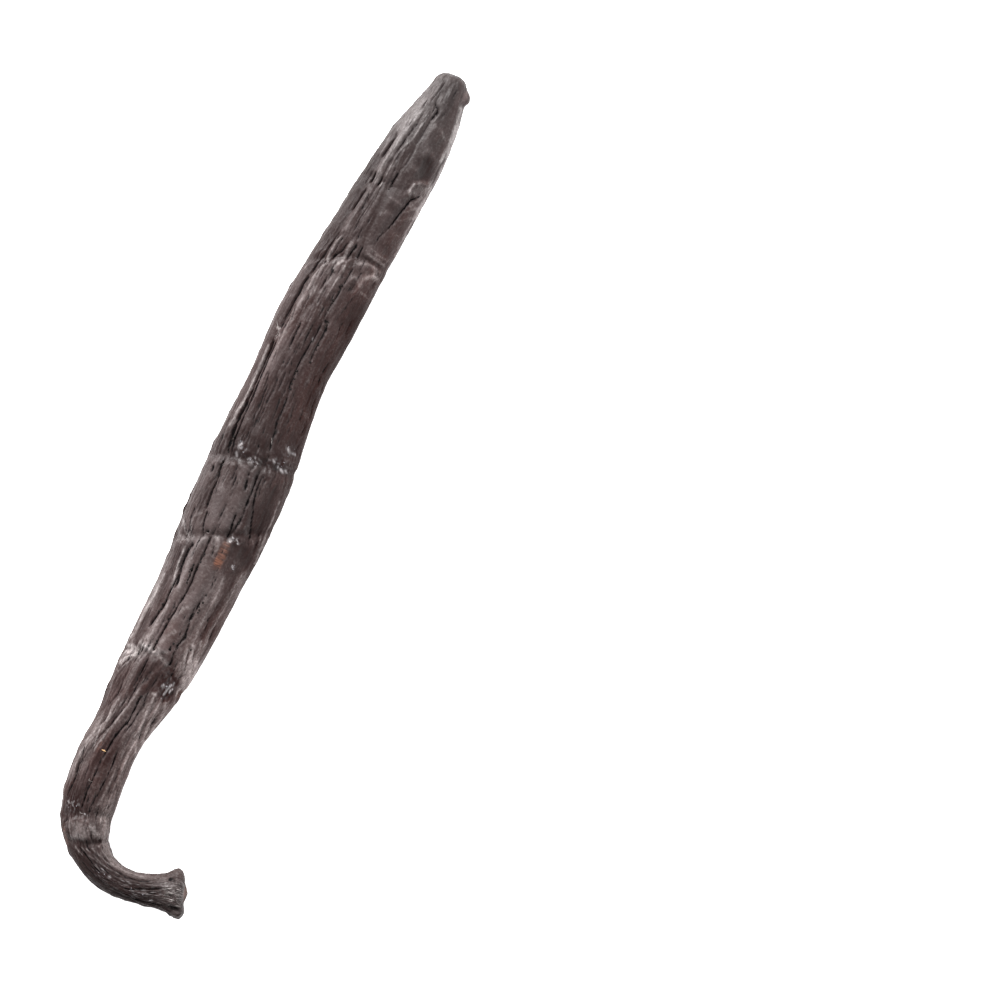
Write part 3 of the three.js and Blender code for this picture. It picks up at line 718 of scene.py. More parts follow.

# %% [markdown]
# ## Ridges, hollows and their tint
# The skin has dried unevenly: raised threads and ribs are pale, partly with dust and partly with
# painted highlights, and hollows are dark, partly with oil and partly with painted shade. The pale
# strokes along the rim are painted light where its edge catches the light. One list of strokes says
# both at once, so that relief and colour stay together. A narrow stroke is a thread, which noise
# breaks up, and a short broad one is a patch.

# %% Strokes: half width, height, tint from -1 (dark) to 1 (pale), partly painted light and shade, path
STROKES = [
    # tip
    (.15, .1, .55, 6.7, -1.25, 9.7, -1.3, 11.9, -1.5, 13, -2, 15.3, -2.35, 20.6, -2.1),
    (.14, .08, .4, 20.6, -2.2, 25, -2.2, 26.7, -1.75, 28.4, -1.3),
    (.5, .28, .45, 12.8, -3.1, 15.6, -3.4, 17.8, -3.4, 20.2, -3.1),
    (.48, .26, .42, 22.2, -3.2, 25, -3.4, 29.4, -3.3),
    (.32, .14, .45, 30.6, -3.4, 32, -3.65, 34.6, -3.75, 35.2, -3.5),
    (.34, .12, .45, 30.8, -1.3, 32.2, -1.55, 33.6, -1.5), (.8, .05, .25, 5, -2.9, 8, -3.5, 11, -4.3),
    (.4, .1, .3, 6.5, -2.4, 9.5, -2.9, 12, -3.4),
    (.25, .1, .5, 13.1, -5.1, 13.5, -4.8, 14.6, -4.7, 16, -4.9),
    (.27, .05, .32, 7.5, -.3, 7.7, .9, 8.1, 2, 8.9, 3.1),
    (.27, .05, .32, 11.4, 1.3, 11.8, 2.5, 12.7, 3.7), (.3, .05, .3, 15, 0, 15.2, 1.4, 15.7, 2.4),
    (.27, .05, .3, 21.3, .2, 21.3, 2.5), (.2, .03, .25, 24.8, -.9, 23.7, .9, 23.3, 2.1),
    # pale light painted along the lower rim, where its edge catches the light
    (.3, .1, .9, 3.6, 3, 6, 3.4, 8.4, 3.9, 10.4, 4.1, 12, 4.2),
    (.26, .08, .95, 6, 3.7, 8, 4.2, 10.6, 4.8, 13.6, 5.1, 18, 5.3, 22, 5.3),
    (.16, .08, .9, 18.6, 4.9, 21, 5, 24, 5.1, 29, 5.4),
    (.14, -.08, -.6, 9.5, 3.9, 11.8, 4.6, 14, 4.6, 16.2, 5), (.9, .12, .4, 17.4, 3.6, 18.6, 3.2),
    (.27, .06, .42, 18.8, 4.3, 20.9, 3.7),
    (.3, .06, .28, 16.7, 4.8, 16.3, 4.2, 16.6, 3.2, 17.4, 2.4, 18.9, 2.2, 19.6, 2.8),
    (.27, .06, .42, 20.6, 4.7, 22.2, 3.4), (.27, .06, .42, 22.4, 4.6, 23.9, 3.2),
    (.27, .05, .38, 26.1, 4.9, 25.9, 3.1), (.14, .05, .3, 27.2, 4.8, 28.2, 2.9),
    (1, -.24, -1, 13.8, 2.4, 15.2, 3.2), (.7, -.05, -.4, 22.2, .9, 23, 1.8),
    (.6, -.04, -.35, 28.5, 3.1, 29.3, 4.4), (.35, -.06, -.55, .6, -1.3, 2.4, -1.2, 4.4, -1.2),
    (.3, .08, .3, 3.2, -.4, 4.6, -.9), (.14, .06, .4, 24.2, -5, 27, -4.8, 31, -4.8),
    (.4, -.05, -.6, 16.6, -4.9, 18.6, -4.9, 22, -4.8), (.35, -.05, -.5, 23, -4.7, 27, -4.6),
    (.3, -.06, -.6, 30.6, -5.2, 32.6, -5.3),
    # first crease
    (.27, .09, .35, 30.1, 1.6, 30.2, 2.8, 30.4, 4.7), (.36, .1, .42, 31, 1.6, 31.1, 3.2, 31.3, 5.1),
    (.24, -.08, -.5, 31.8, 1.2, 31.9, 4.8),
    (.3, .04, .3, 35.7, -3.2, 36.4, -3.6, 37.6, -3.85, 40.8, -3.95),
    (.8, .04, .15, 37, -3.2, 40, -3.4, 43, -3.6), (.5, .03, .2, 40.2, -2.9, 41.4, -2.8),
    (.16, .05, .6, 34, -1.1, 34.8, -1.7, 35.8, -1.95),
    (.22, .06, .5, 37.4, -1.4, 38.8, -1.7, 40.8, -1.7, 42.4, -1.6),
    (.35, -.05, -.4, 35.6, -1.5, 36.6, -1.5), (.14, .05, .55, 36.5, -5, 36.8, -5.6, 38, -6),
    (.15, .07, .75, 33, -.2, 34, -.6, 36.4, -.45, 38, -.6, 42, -.55), (.3, .05, .25, 34, .1, 38, .1),
    (.5, -.08, -.45, 31.4, -2.4, 33.4, -2), (.9, -.08, -.7, 39.6, 4.2, 42.6, 4.4),
    (.38, .09, .38, 33.3, .9, 32.6, 2, 32.4, 3.2, 32.6, 4.8),
    (.4, .09, .34, 36.4, 3.1, 34.9, 3, 34.1, 3.8, 33.7, 4.8),
    (.3, .07, .32, 37.2, 1.1, 35.9, 1.3, 35.4, 2, 35.8, 2.4),
    (.16, -.04, -.5, 38.2, 3.2, 40.4, 3.1, 42.4, 2.9), (.45, .06, .45, 37.1, 3.9, 37.4, 5.2),
    (.45, .04, .35, 33.4, 4.2, 34.4, 5.2), (1.1, 0, .45, 44.4, 3.3, 48.6, 3.8),
    # middle
    (.25, .04, .4, 38, -5.9, 45, -5.8, 50, -5.7),
    (.26, .08, .85, 51.5, -5.5, 56, -5.4, 60, -5.45, 63, -5.8, 65.5, -5.9),
    (.15, .08, .75, 42, -.55, 44.6, -.6, 46, -.75, 48, -.75, 50, -.5),
    (.45, .12, .3, 43, -3.95, 48, -4, 54, -3.9, 60, -3.9, 65, -3.9),
    (.12, .06, .6, 48.2, -5.8, 48.7, -4.95, 49.3, -4.5, 50.2, -5.1),
    (.16, .06, .3, 52, .95, 55.5, .9, 57.3, 1.3, 60.5, 1.4), (.3, -.03, -.35, 38, -5.25, 46, -5.25),
    (.8, -.04, -.6, 55.5, 4, 57.4, 4.8), (.8, -.05, -.8, 63.4, 4.2, 64.8, 4.8),
    (.7, -.03, -.35, 60.5, 1.9, 66, 2.5), (1, 0, .5, 51.2, 2.3, 53.6, 2.8),
    (.8, 0, .35, 54.6, 2.6, 56.4, 2.4), (.8, 0, .5, 58.8, 3.6, 59.6, 5),
    (.7, 0, .35, 61.2, 2.8, 62.2, 3.4), (.45, -.03, -.3, 55, -1, 61, -1.1),
    # second crease
    (.7, -.1, -.75, 65.4, -3.6, 68.8, -3.9), (.6, -.08, -.55, 66, -1.6, 68.4, -1.2),
    (.5, -.08, -.5, 66, .5, 68.4, .9), (.55, -.08, -.45, 67, 2.5, 67.4, 4),
    (.4, .08, .55, 66.8, 4, 67, 6), (.1, .06, .9, 64.7, 1, 65.8, 1.35),
    (.6, .06, .3, 70.8, -3.2, 73, -3.4, 75, -3.3), (.6, .03, .1, 75, -3.2, 79, -3),
    (.5, .06, .25, 70.8, -1.1, 73, -1), (.5, .04, .1, 73, -1, 79, -.6), (.3, .03, .3, 70.8, .8, 74, 1),
    (.12, .05, .45, 70.2, 3.2, 71.2, 3, 72.8, 3.1), (.12, .05, .4, 70, 4.1, 71.6, 3.9),
    (.12, .05, .4, 70.2, 5.2, 71.4, 4.9), (.7, -.07, -.75, 72.6, 4.7, 76.4, 4.6),
    (.16, .06, .95, 73.4, 6, 78, 6.3, 84, 6.4), (.14, .06, .85, 76.6, 5, 78.4, 5.6, 81, 5.9),
    (.1, .05, .8, 80.6, 4.7, 81.6, 5.1),
    # third crease
    (.8, -.08, -.75, 76.6, 5, 79.2, 5), (.9, -.1, -.85, 82.2, 3, 84.4, 5.4),
    (.45, -.08, -.85, 80.6, 1, 82.4, 1.1), (.35, -.05, -.7, 81.2, 2.2, 82.2, 3.4),
    (.2, .06, .6, 82.3, -6.9, 83.4, -6, 84.4, -4.9), (.16, .06, .55, 84.6, -6.7, 85.2, -5.6, 84.8, -4.6),
    (.16, .06, .5, 85.6, -6.4, 85.9, -5.5, 85.3, -4.6),
    (.3, .06, .3, 83.4, -2.3, 84.4, -2.9, 86.5, -3.2, 89.5, -3, 92.5, -2.8),
    (.16, .09, .8, 86, -4.8, 88.6, -4.75, 90.6, -4.4, 92.6, -3.95, 94, -3.7),
    (.3, .02, .3, 82.6, -.6, 83.4, 0, 84.6, .2), (.3, .05, .35, 95.5, -3.2, 99, -3.4, 102, -3.5),
    (.27, .07, .35, 94.6, 0, 95.3, -.7, 96.2, -1.2, 97.6, -1.5),
    (.27, .07, .35, 99, -.1, 99.8, -.9, 101.6, -1.5), (.13, .06, .5, 88, 3, 93, 3.2, 96, 3, 99.5, 3.2),
    (.13, .06, .5, 86.4, 5.4, 91, 5.2, 96, 4.9, 99, 4.9), (.25, -.04, -.4, 88, 4.4, 94, 4.2, 98, 4.1),
    (.35, -.06, -.55, 85.8, -5.4, 88, -5.3), (.3, -.06, -.55, 91.5, -5.4, 94, -5, 96.4, -4.8),
    (.4, -.06, -.55, 98.5, -5.2, 101, -5.1, 103.6, -5),
    (.18, .07, .7, 91.5, -6, 95.5, -5.8, 98.5, -6, 103.2, -5.9),
    (.12, -.08, -.5, 97.8, -5.65, 100, -5.55, 103, -5.45), (.35, -.05, -.6, 76.2, -5.2, 79.4, -5.3),
    (.16, .06, .4, 80, -4.6, 81, -5.3, 82.4, -5.4, 83.8, -4.8, 84.8, -4.1),
    # the first stroke here darkens the rim, as painted shade
    (.5, 0, -.6, 39, 5.6, 46, 5.9, 55.5, 5.8), (.6, 0, -.35, 77, 5.2, 81.5, 5.4, 84, 4.8),
    # fourth crease
    (.3, .14, .9, 99.9, 3.5, 102.4, 4.2, 104.1, 5, 105.4, 5.4),
    (.25, .12, .8, 101.5, 5.1, 104.5, 5.7, 106.5, 5.5),
    (.22, .1, .7, 100.6, 2.9, 102.2, 3.3, 104, 4.1, 105.4, 4.7),
    (.16, .08, .6, 98.5, 4.3, 101.5, 4.7, 103.5, 5.4),
    (.12, -.1, -.6, 100.2, 3.9, 102.3, 4.55, 104.2, 5.35),
    (.12, -.1, -.6, 101, 3.2, 103.1, 3.85, 104.8, 4.5),
    (.27, .1, .95, 104.3, -4.1, 104.4, -4.8, 104.6, -6), (.6, .04, .38, 105.2, -5.2, 107.2, -5.6),
    (.75, .04, .8, 102.6, 5, 104.2, 5.4, 106.2, 5.6), (.27, .12, .95, 104.5, -4, 105, -4.8, 105.8, -5.8),
    (.27, .12, .95, 104.8, -4, 106.2, -4.9, 107.8, -5.6),
    (.14, .1, .8, 105.4, -3.9, 107.4, -4.8, 109.2, -5.3),
    (.1, -.1, -.6, 104.8, -4.2, 105.6, -4.9, 106.4, -5.5),
    (.1, -.1, -.6, 106, -4.4, 107.4, -5, 108.8, -5.4),
    (.5, .14, .8, 103.3, -3.9, 103.5, -2.6, 103.4, -1.3),
    (.2, .06, .5, 102.5, -1.6, 102.9, -.6, 102.6, .3), (.45, .06, .45, 103.6, -.6, 103.9, .2, 104.2, 1),
    (.6, -.05, -.55, 105, -.6, 107.6, -.7), (.3, -.04, -.4, 104.8, -2.2, 111, -2.1),
    (.6, .02, .2, 105.6, -3.1, 111, -3), (.9, -.25, -.9, 106.6, 2.6, 108.8, 3.3),
    (.3, .1, .1, 107.4, 2.7, 108.4, 3.1),
    (.28, -.12, -1, 105.6, 2.2, 105.9, 3.6, 107.4, 4.4, 109.2, 3.9, 109.3, 2.6),
    (.22, -.15, -1, 107.6, 5.3, 108.8, 5.25), (.16, .06, .7, 107, 5, 108.2, 4.85, 109.2, 5),
    (.3, .06, .6, 109.4, 2, 109.8, 1.2), (.14, .04, .55, 112.8, -2, 113.2, -3),
    (.16, .05, .45, 112.8, -2.9, 115, -3, 117, -2.9),
    (.13, .06, .75, 108, -1, 112, -.95, 116, -1.45, 119.6, -1.9, 122, -2.2),
    (.12, .06, .7, 117.8, -3.1, 119.8, -3.6, 121.8, -4.3),
    (.12, .06, .65, 119.2, -3, 121.2, -3.5, 123.2, -4.1),
    (.13, .06, .6, 113, -2.2, 116, -2.6, 119, -2.6),
    (.13, .08, .8, 114, 2.3, 117, 2.4, 119, 2.9, 121, 3.1, 123.4, 3.2),
    (.14, .11, .95, 109, 1.8, 111.5, 1.85, 113.8, 2.15, 116.3, 2.6, 118.3, 3.1, 119.4, 3.9),
    (.13, .11, .9, 109.3, 3, 112, 3.1, 115, 3.4, 117.6, 3.9),
    (.18, .1, .9, 109.8, 3.9, 112, 4.4, 116, 4.2, 119, 4.2),
    # neck
    (.24, .06, .3, 116.5, -3.9, 120.5, -3.4, 123, -3.9, 126.5, -4.2),
    (.12, .07, .6, 115.6, -2.8, 118.4, -3, 121.4, -2.6),
    (.13, .04, .35, 119.8, 2.2, 123, 2.4, 127, 2.2, 130, 1.5),
    (.13, .04, .4, 121, 3.3, 125, 3.4, 129, 3, 133, 2.5),
    (.9, -.06, -.75, 128.8, -2.9, 130.6, -2.3, 131.6, -1.3),
    (.35, -.03, -.4, 120, -.9, 124, -1.4, 128, -1.6), (1.1, .05, .25, 133.4, -2, 133.9, -1.2, 134.6, 0),
    (.45, .05, .35, 135.2, -1.8, 135.6, -.6), (.12, -.05, -.3, 133.2, .3, 134.6, .9, 135.6, .9),
    (.4, .06, .4, 133.9, 1, 135.3, 1.9, 136, 2.4), (.4, -.1, -.55, 136.6, .2, 136.9, 2.2),
    # hook
    (.14, .06, .45, 137.6, .6, 139, 1.2, 142, 1.7), (.14, .06, .4, 137.4, -.3, 138.6, .4, 141, .9),
    (.16, .05, .3, 137.7, 1.8, 139.5, 2, 143, 2, 148.5, 2.1),
    (.12, .05, .6, 136.6, -1.9, 138.6, -1.1, 140.6, -.2, 142.6, .6),
    (.12, .05, .55, 137, -1, 139, 0, 141.4, .9, 144, 1.3),
    (.12, .05, .5, 138, -2.2, 140.6, -1.4, 143.4, -.6, 145.6, .2),
    (.12, -.06, -.5, 136.8, -1.4, 139, -.5, 141.2, .4), (.12, -.06, -.5, 137.6, -2, 140, -1, 142.6, -.1),
    (.8, -.03, -.55, 138.5, -1.8, 143, -1.2), (.6, -.04, -.7, 145, -1.5, 151, -1.5),
    (.45, -.05, -.6, 147.4, .2, 151.4, .5), (.12, .05, .4, 144, -.5, 146, -.2, 149, -.4),
]
STROKE_WAVER = 0.4
THREAD_WIDTH = 0.26         # narrower pale strokes are threads
FRONT_HIGHLIGHT_SHARE = 0.08
stroke_relief = np.zeros(len(along))
# The tint starts with the painted highlights of the rib fronts.
tint_and_painted_light = FRONT_HIGHLIGHT_SHARE * front_painted_highlight
broken = 0.4 + 0.6 * smoothstep(pod_noise(1.1, 40, 24), -0.45, 0.35)
for width, height, shade, *path in STROKES:
    near, off, *_ = near_path(path, BELL_END * width + STROKE_MARGIN)
    soft = upper[near] * bell(off, width * (1 + STROKE_WAVER * waver[near]))
    stroke_relief[near] += height * soft
    tint_and_painted_light[near] += shade * soft * (broken[near] if width < THREAD_WIDTH and shade > 0 else 1)
tint_and_painted_light = np.clip(tint_and_painted_light, -1, 1)
print(len(STROKES), "strokes,", (tint_and_painted_light > 0.3).sum(), "pale points and", (tint_and_painted_light < -0.3).sum(), "dark ones")

# %% Broad dark and pale places, painted light and shade: along, across, half length, half width, strength
SHADES = [      # from -1 (dark) to 1 (pale)
    (8, -3.4, 6, 1.4, -.05), (20, -3.2, 5, 1.1, .05), (24, -5.3, 9, 1, -.95), (35, -5.4, 5, .9, -.45),
    (24, 2.4, 8, 3.6, -.35), (12, 2.6, 5, 1.8, -.4), (3.4, .8, 4, 1.2, -1), (14.6, 2.8, 1.8, 1.1, -.4),
    (14, .2, 4, .9, -.3), (14, 5, 7, .8, 1), (25, -3.4, 7, 1.8, -.4), (25, -.4, 6, 1.2, -.45),
    (35, -1.9, 3, 1.1, .6), (32.4, -1.6, 1.8, .9, .25), (10, 4.6, 3, .7, .3), (33, 3.5, 3.4, 1.4, .45),
    (2.6, 2, 3, .8, .3), (46, -5.9, 6, .5, -.4), (46, 3.8, 11, 3, -.55), (45, 5.6, 7, .8, -.85),
    (45, .2, 9, 1.6, -.4), (53, -3.7, 7, .9, .2), (60, .4, 10, 4.6, -.62), (60, 5.8, 12, 1, -.35),
    (62, -3.2, 7, 2.2, -.5), (64.5, -.5, 4.5, 1.2, -.35), (66.8, 0, 3, 7, -.6), (75, -3, 5, 1.3, -.15),
    (78, 4.3, 8, 2.4, -.55), (83.5, 3.4, 2.2, 2.4, -.45), (76, 5.8, 9, .9, .35), (88, 5.8, 6, .8, .45),
    (85, -.6, 3, .9, .2), (96, 5.9, 5, .5, -.15), (92, 3.2, 7, 1.8, .25), (103.2, -3.6, 1.6, 1.5, .45),
    (103.5, 4.6, 3.4, 1.5, .85), (106.6, .4, 3, 2.6, -.5), (113.5, .6, 4, .9, .25),
    (107.6, 3, 1.9, 1.4, -1), (114, 3.4, 7, 1.5, .75), (114, -1.2, 5, 1, .15), (106, -4.6, 1.5, 1, .2),
    (113, -4.4, 5, 1.2, -.25), (121, -3.8, 5, 1.1, .35), (124, -.4, 8, 1.8, -.3),
    (130.4, -2.6, 2.4, 1.6, -.7), (134.2, -1, 1.9, 2.2, .25), (134, 3.3, 7, .8, .75),
    (140, 2.6, 4, .6, .4), (145, 2.2, 6, .5, .2), (153.6, -3.4, 1.6, .8, .1), (143, -1.7, 4, .8, .35),
    (141, -1.2, 6, 2, -.35), (148, -1, 6, 2.2, -.75), (144, 1.7, 7, .9, .12), (127, 3.2, 6, 1.2, .05),
    (153, .3, 1.6, 1.4, .6), (96, -6, 4, .5, .5),
]
RED_PLACES = [  # how red
    (40.5, 4.4, 4, 1.6, .9), (56.5, 4, 4, 2, .6), (65, 4.6, 5, 1.8, .4), (100, 4.4, 5, 1.2, .5),
    (124, 0, 8, 3, .5), (10, 3.4, 6, 1.4, .3), (28, 4, 6, 1.5, .5),
]
DRIFT = [       # along, shade of the whole width there
    (0, -.05), (10, -.05), (18, -.17), (75, -.17), (86, .02), (98, .08), (104, .15), (130, .15),
    (138, .12), (156, .14),
]


def steps_from(place, off_axis, half_length, half_width):
    """How far each point is from a place, lengthwise and crosswise, in half lengths and widths."""
    return (drawn[:, 0] - place) / half_length, (drawn[:, 1] - off_axis) / half_width


SOFTNESS = 0.9


def soft_places(rows):
    """Sum of soft ellipses on the upper side, each times its own strength."""
    total = np.zeros(len(along))
    for *spot, strength in rows:
        total += strength * upper * np.exp(-(np.hypot(*steps_from(*spot)) ** 2) * SOFTNESS)
    return total


# The sum is painted light and shade, with some of the skin's own tone, plus the drift along the pod.
painted_light_and_tone = np.clip(soft_places(SHADES) + np.interp(along, *np.transpose(DRIFT)), -1, 1)
red_here = np.clip(soft_places(RED_PLACES), 0, 1)
print("darkest", np.round(painted_light_and_tone.min(), 2), "palest", np.round(painted_light_and_tone.max(), 2))

# %% [markdown]
# ## Wrinkles
# Between the cracks the skin has ribs and wrinkles of every size. Noise stretched ten times along
# the pod gives them, in several sizes. Some of it is folded: the height is the distance from zero,
# so it has sharp valleys and rounded ribs as skin has. Wrinkles gather where the pod is creased.
# They stay small on the flat facets beside the tip and on the plates, which are the whole pieces of
# skin between the deepest cracks, and the hidden underside gets procedural cracks.

# %% Where the skin is gathered, fibrous or smooth
GATHER_REACH = 3.0
gather = sum(depth / 0.5 * bell(crease_distance(edges), GATHER_REACH) for depth, _, *edges in CREASES)
gather = np.clip(gather, 0, 1)
stalk = smoothstep(along, 134, 143)
below = 1 - upper
fibrous = smoothstep(along, 98, 112) + 0.6 * smoothstep(across, 2.5, 4) * smoothstep(along, 66, 80)
fibrous = np.clip(fibrous, 0, 1)
facets = smoothstep(across, -0.5, 0.6) * between(along, 5, 9, 29, 33) * upper
tip_flank = 1 - smoothstep(along, 9, 15)
plates = between(along, 69, 71, 101, 105) * (1 - smoothstep(np.abs(across + 1.2), 2.6, 3.6))
plates = np.maximum(plates, straight * (1 - smoothstep(-across, 4.2, 4.6))) * upper
calm = (1 - 0.75 * facets) * (1 - 0.5 * tip_flank) * (1 - 0.6 * plates)
print("gathered points:", (gather > 0.5).sum(), " points on plates:", (plates > 0.5).sum())

# %% Ribs and wrinkles
SLANT = 0.35            # cells that a slanted fold drifts round the pod for each millimetre
NOISES = {              # length, how many round the pod, seed, sway, slant
    "broad": (24.0, 13, 2, 0.5), "folded": (9.0, 38, 5, 0.8), "fine": (4.0, 92, 9, 1.0),
    "hairline": (6.5, 62, 51, 1.4), "hidden crack": (16.0, 26, 31, 1.2), "lump": (3.2, 14, 67, 0.4),
    "slanted": (5.0, 46, 61, 0.8, SLANT), "counter": (5.0, 46, 64, 0.8, -SLANT),
    "crumple": (1.5, 30, 14, 0.4), "crinkle": (0.75, 64, 15),
}
VALLEY_WIDTH, HAIRLINE_WIDTH, HIDDEN_CRACK_WIDTH = 0.14, 0.26, 0.05
noises = {name: pod_noise(*row) for name, row in NOISES.items()}
# The valleys of the folded noise and the hairlines are later painted darker as well, as painted shade.
valley = bell(noises["folded"], VALLEY_WIDTH) * smoothstep(pod_noise(7.0, 12, 58), -0.4, 0.2)
valley *= (1 - 0.85 * facets) * (1 - 0.7 * painted_groove_shade) * (1 - 0.6 * plates)
hairline = bell(noises["hairline"], HAIRLINE_WIDTH) * smoothstep(pod_noise(6.0, 13, 55), -0.3, 0.25)
hairline *= (0.45 + 0.55 * fibrous) * (1 - 0.8 * facets) * (1 - 0.7 * tip_flank) * (1 - 0.7 * plates)
hidden_crack = bell(noises["hidden crack"], HIDDEN_CRACK_WIDTH) * below
hidden_crack *= smoothstep(pod_noise(9.0, 8, 33), -0.15, 0.2)
crossing = sum(np.abs(noises[name]) ** 0.7 - 0.4 for name in ("slanted", "counter"))
crumple_share = (0.5 + 0.7 * gather + 0.5 * stalk + 0.7 * tip_flank) * (1 - 0.5 * plates)
wrinkles = sum(height * shape * share for height, shape, share in [
    (0.07, noises["broad"], 1),
    (0.15, np.abs(noises["folded"]) ** 0.65 - 0.4, calm * (0.8 + 0.6 * gather)),
    (-0.05, (1 - np.abs(noises["fine"])) ** 3, calm * (0.4 + 0.8 * fibrous + 0.8 * stalk)),
    (-0.08, hairline, 1),
    (0.075, crossing, calm * (0.6 + 0.6 * gather)),
    (0.10, noises["lump"], (0.6 + 0.6 * gather) * (1 - 0.6 * plates)),
    (0.06, noises["crumple"], crumple_share),
    (0.035, noises["crinkle"], 0.6 + 0.8 * gather + 1.0 * stalk),
    (-0.22, hidden_crack, 1),
])
# The hidden cracks of the underside get the same black paint, partly as painted shade.
crack_paste_and_shade = np.maximum(crack_paste_and_shade, 0.8 * hidden_crack)
print("wrinkles from", np.round(wrinkles.min(), 2), "to", np.round(wrinkles.max(), 2), "mm")

# %% [markdown]
# ## The torn end of the stalk
# The stalk was torn from the vine, so its end is ragged: short stiff fibres, a deep pit in each
# lobe, and no smooth skin. A mask that grows towards the end mixes in coarse noise.

# %% Torn end
PITS = [        # along, across, half length, half width, depth
    (153.8, -2.4, 0.8, 0.5, 0.55), (153.2, 2.4, 0.6, 0.4, 0.3),
]
RIM_PLACE, RIM_WIDTH, RIM_HEIGHT = 154.3, 0.8, 0.28
RAGGEDNESS = 0.12
torn = smoothstep(along, 151.5, 154.0)
ragged = RAGGEDNESS * torn * pod_noise(0.8, 26, 41) + RAGGEDNESS * torn * pod_noise(0.6, 60, 42)
ragged += RIM_HEIGHT * bell(along - RIM_PLACE, RIM_WIDTH) * smoothstep(-side, 0.5, 0.95)
# The pits are painted black as well, partly as painted shade.
for *spot, depth in PITS:
    reach = np.hypot(*steps_from(*spot))
    hollow = upper * np.exp(-(reach + 0.5 * pod_noise(0.7, 40, 43)) ** 2)
    ragged -= depth * hollow
    crack_paste_and_shade = np.maximum(crack_paste_and_shade, 0.8 * hollow)
print("torn points:", (torn > 0.5).sum())

# %% [markdown]
# ## Putting the relief on
# All heights are added up and the skin moves along its outward directions. The outer lobe of the
# torn end stands out a little past its middle. The pod's weight presses its underside flat, so
# nothing goes below the surface that it lies on. The finished skin is then set on the middle of the
# frame's solid.

# %% Move the skin
LOBE_PUSH = 0.55
POLE_FADE = 1.6         # the relief fades out where the caps close
small_forms = front_relief + stroke_relief + wrinkles
relief = (form + crack_relief + small_forms + ragged) * np.clip(opened * POLE_FADE, 0, 1)
lobe = smoothstep(along, 153.0, 154.6) * smoothstep(-side * opened, 0.35, 0.75)
skin_points = points + outward * relief[:, None] + stalk_way * (LOBE_PUSH * lobe)[:, None]
skin_points[:, 2] = np.maximum(skin_points[:, 2], 0.0)
low, high = skin_points.min(0), skin_points.max(0)
shift = np.mean(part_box("pod"), axis=0) / MM - (low + high) / 2
shift[2] = -low[2]
skin_points += shift
skin.data.vertices.foreach_set("co", (skin_points * MM).astype(np.float32).ravel())
skin.data.update()
print("skin box in mm:", np.round(low + shift, 1), np.round(high + shift, 1))

# %% [markdown]
# ## Special places on the skin
# A few places have their own finish. Oil sits in the deepest creases and glints, and the glints are
# painted highlights: short pale strokes in the colour there. One rib has been rubbed through to the
# orange flesh. The hook's side and the underside are painted browner, partly the skin's own colour
# and partly painted shade of the side away from the light, and the hook's side lies matt. The tip
# is greyer than the body. Each is a soft mask.

# %% Painted glints, highlights painted in the colour of wet places: half width, strength, path
PAINTED_GLINTS = [
    (.2, .42, 67.2, -3.1, 67.8, -3.3), (.16, .35, 67.9, -2.8, 68.1, -3.2),
    (.2, .38, 68.9, -3.3, 69.4, -3.1), (.1, .6, 68.8, -.9, 69.2, -1.3), (.09, .6, 69.1, .2, 69.2, .6),
    (.13, .55, 67.8, 2.6, 67.9, 3), (.2, .85, 68.7, 4.4, 68.9, 4.9), (.1, .6, 68.3, 3.8, 68.6, 3.9),
    (.16, .6, 68.6, 5.3, 68.8, 5.5), (.18, .5, 65.4, 4.1, 65.7, 4.4), (.09, .55, 65.7, 5.1, 65.7, 5.6),
    (.1, .22, 67, 4.2, 67.1, 5.4), (.08, .9, 82.5, 1.4, 82.3, 1.7), (.05, .7, 81.8, 1.6, 81.6, 1.7),
    (.06, .7, 81.6, 2.3, 81.9, 2.9), (.05, .6, 82, 2.6, 82.2, 3), (.09, .65, 85.8, 3.4, 86, 3.6),
    (.11, .95, 107.4, 2.35, 107.8, 2.15), (.1, .92, 106.9, 3.5, 107.7, 3.3, 108.2, 3.05),
    (.09, .92, 108.2, 3.1, 108.7, 3), (.08, .6, 106.4, 3.8, 107, 3.7),
    (.07, .7, 107.4, 3.95, 107.8, 3.75, 108.3, 3.6), (.3, .22, 103.3, -3.4, 103.6, -2.8),
    (.06, .4, 145.2, .6, 145.5, .6), (.06, .4, 145.8, .9, 146.2, .8), (.05, .4, 146.4, .6, 146.7, .7),
    (.06, .35, 143, -.1, 143.1, .4), (.06, .3, 141.4, -.6, 141.4, -.3), (.05, .35, 141.3, 0, 141.5, .3),
    (.06, .35, 140.9, -2.4, 141.1, -2.4), (.05, .3, 141, -.6, 140.8, -.5),
    (.05, .3, 142.4, -2.2, 142.6, -2.1), (.05, .3, 144.2, -1.6, 144.5, -1.6),
    (.05, .3, 143.6, .6, 143.9, .7), (.05, .3, 147, -.3, 147.3, -.3),
    (.06, .7, 130.5, -3.4, 130.7, -3.1), (.06, .6, 130.3, -2.4, 130.4, -2.4),
    (.06, .6, 130.9, -2.5, 131, -2.4), (.08, .75, 131.8, -.3, 131.9, -.1),
    (.08, .55, 150.3, -1.5, 150.5, -1.4), (.07, .75, 62.2, -2.8, 62.3, -2.8),
    (.07, .45, 47.4, .6, 47.6, .6), (.08, .5, 58.3, .6, 58.5, .7), (.09, .6, 54.8, 5, 55, 5.2),
    (.06, .6, 29.5, 1.3, 29.6, 1.3), (.05, .5, 32.5, 0, 32.6, .4), (.07, .45, 68.3, -.2, 68.7, 0),
]
painted_glint = np.zeros(len(along))
for width, strength, *path in PAINTED_GLINTS:
    near, off, *_ = near_path(path, BELL_END * width + STROKE_MARGIN)
    raise_to(painted_glint, near, strength * bell(off, width))
speckled = smoothstep(pod_noise(0.6, 66, 71), -0.35, 0.35)
painted_glint = upper * painted_glint * (0.5 + 0.5 * speckled)
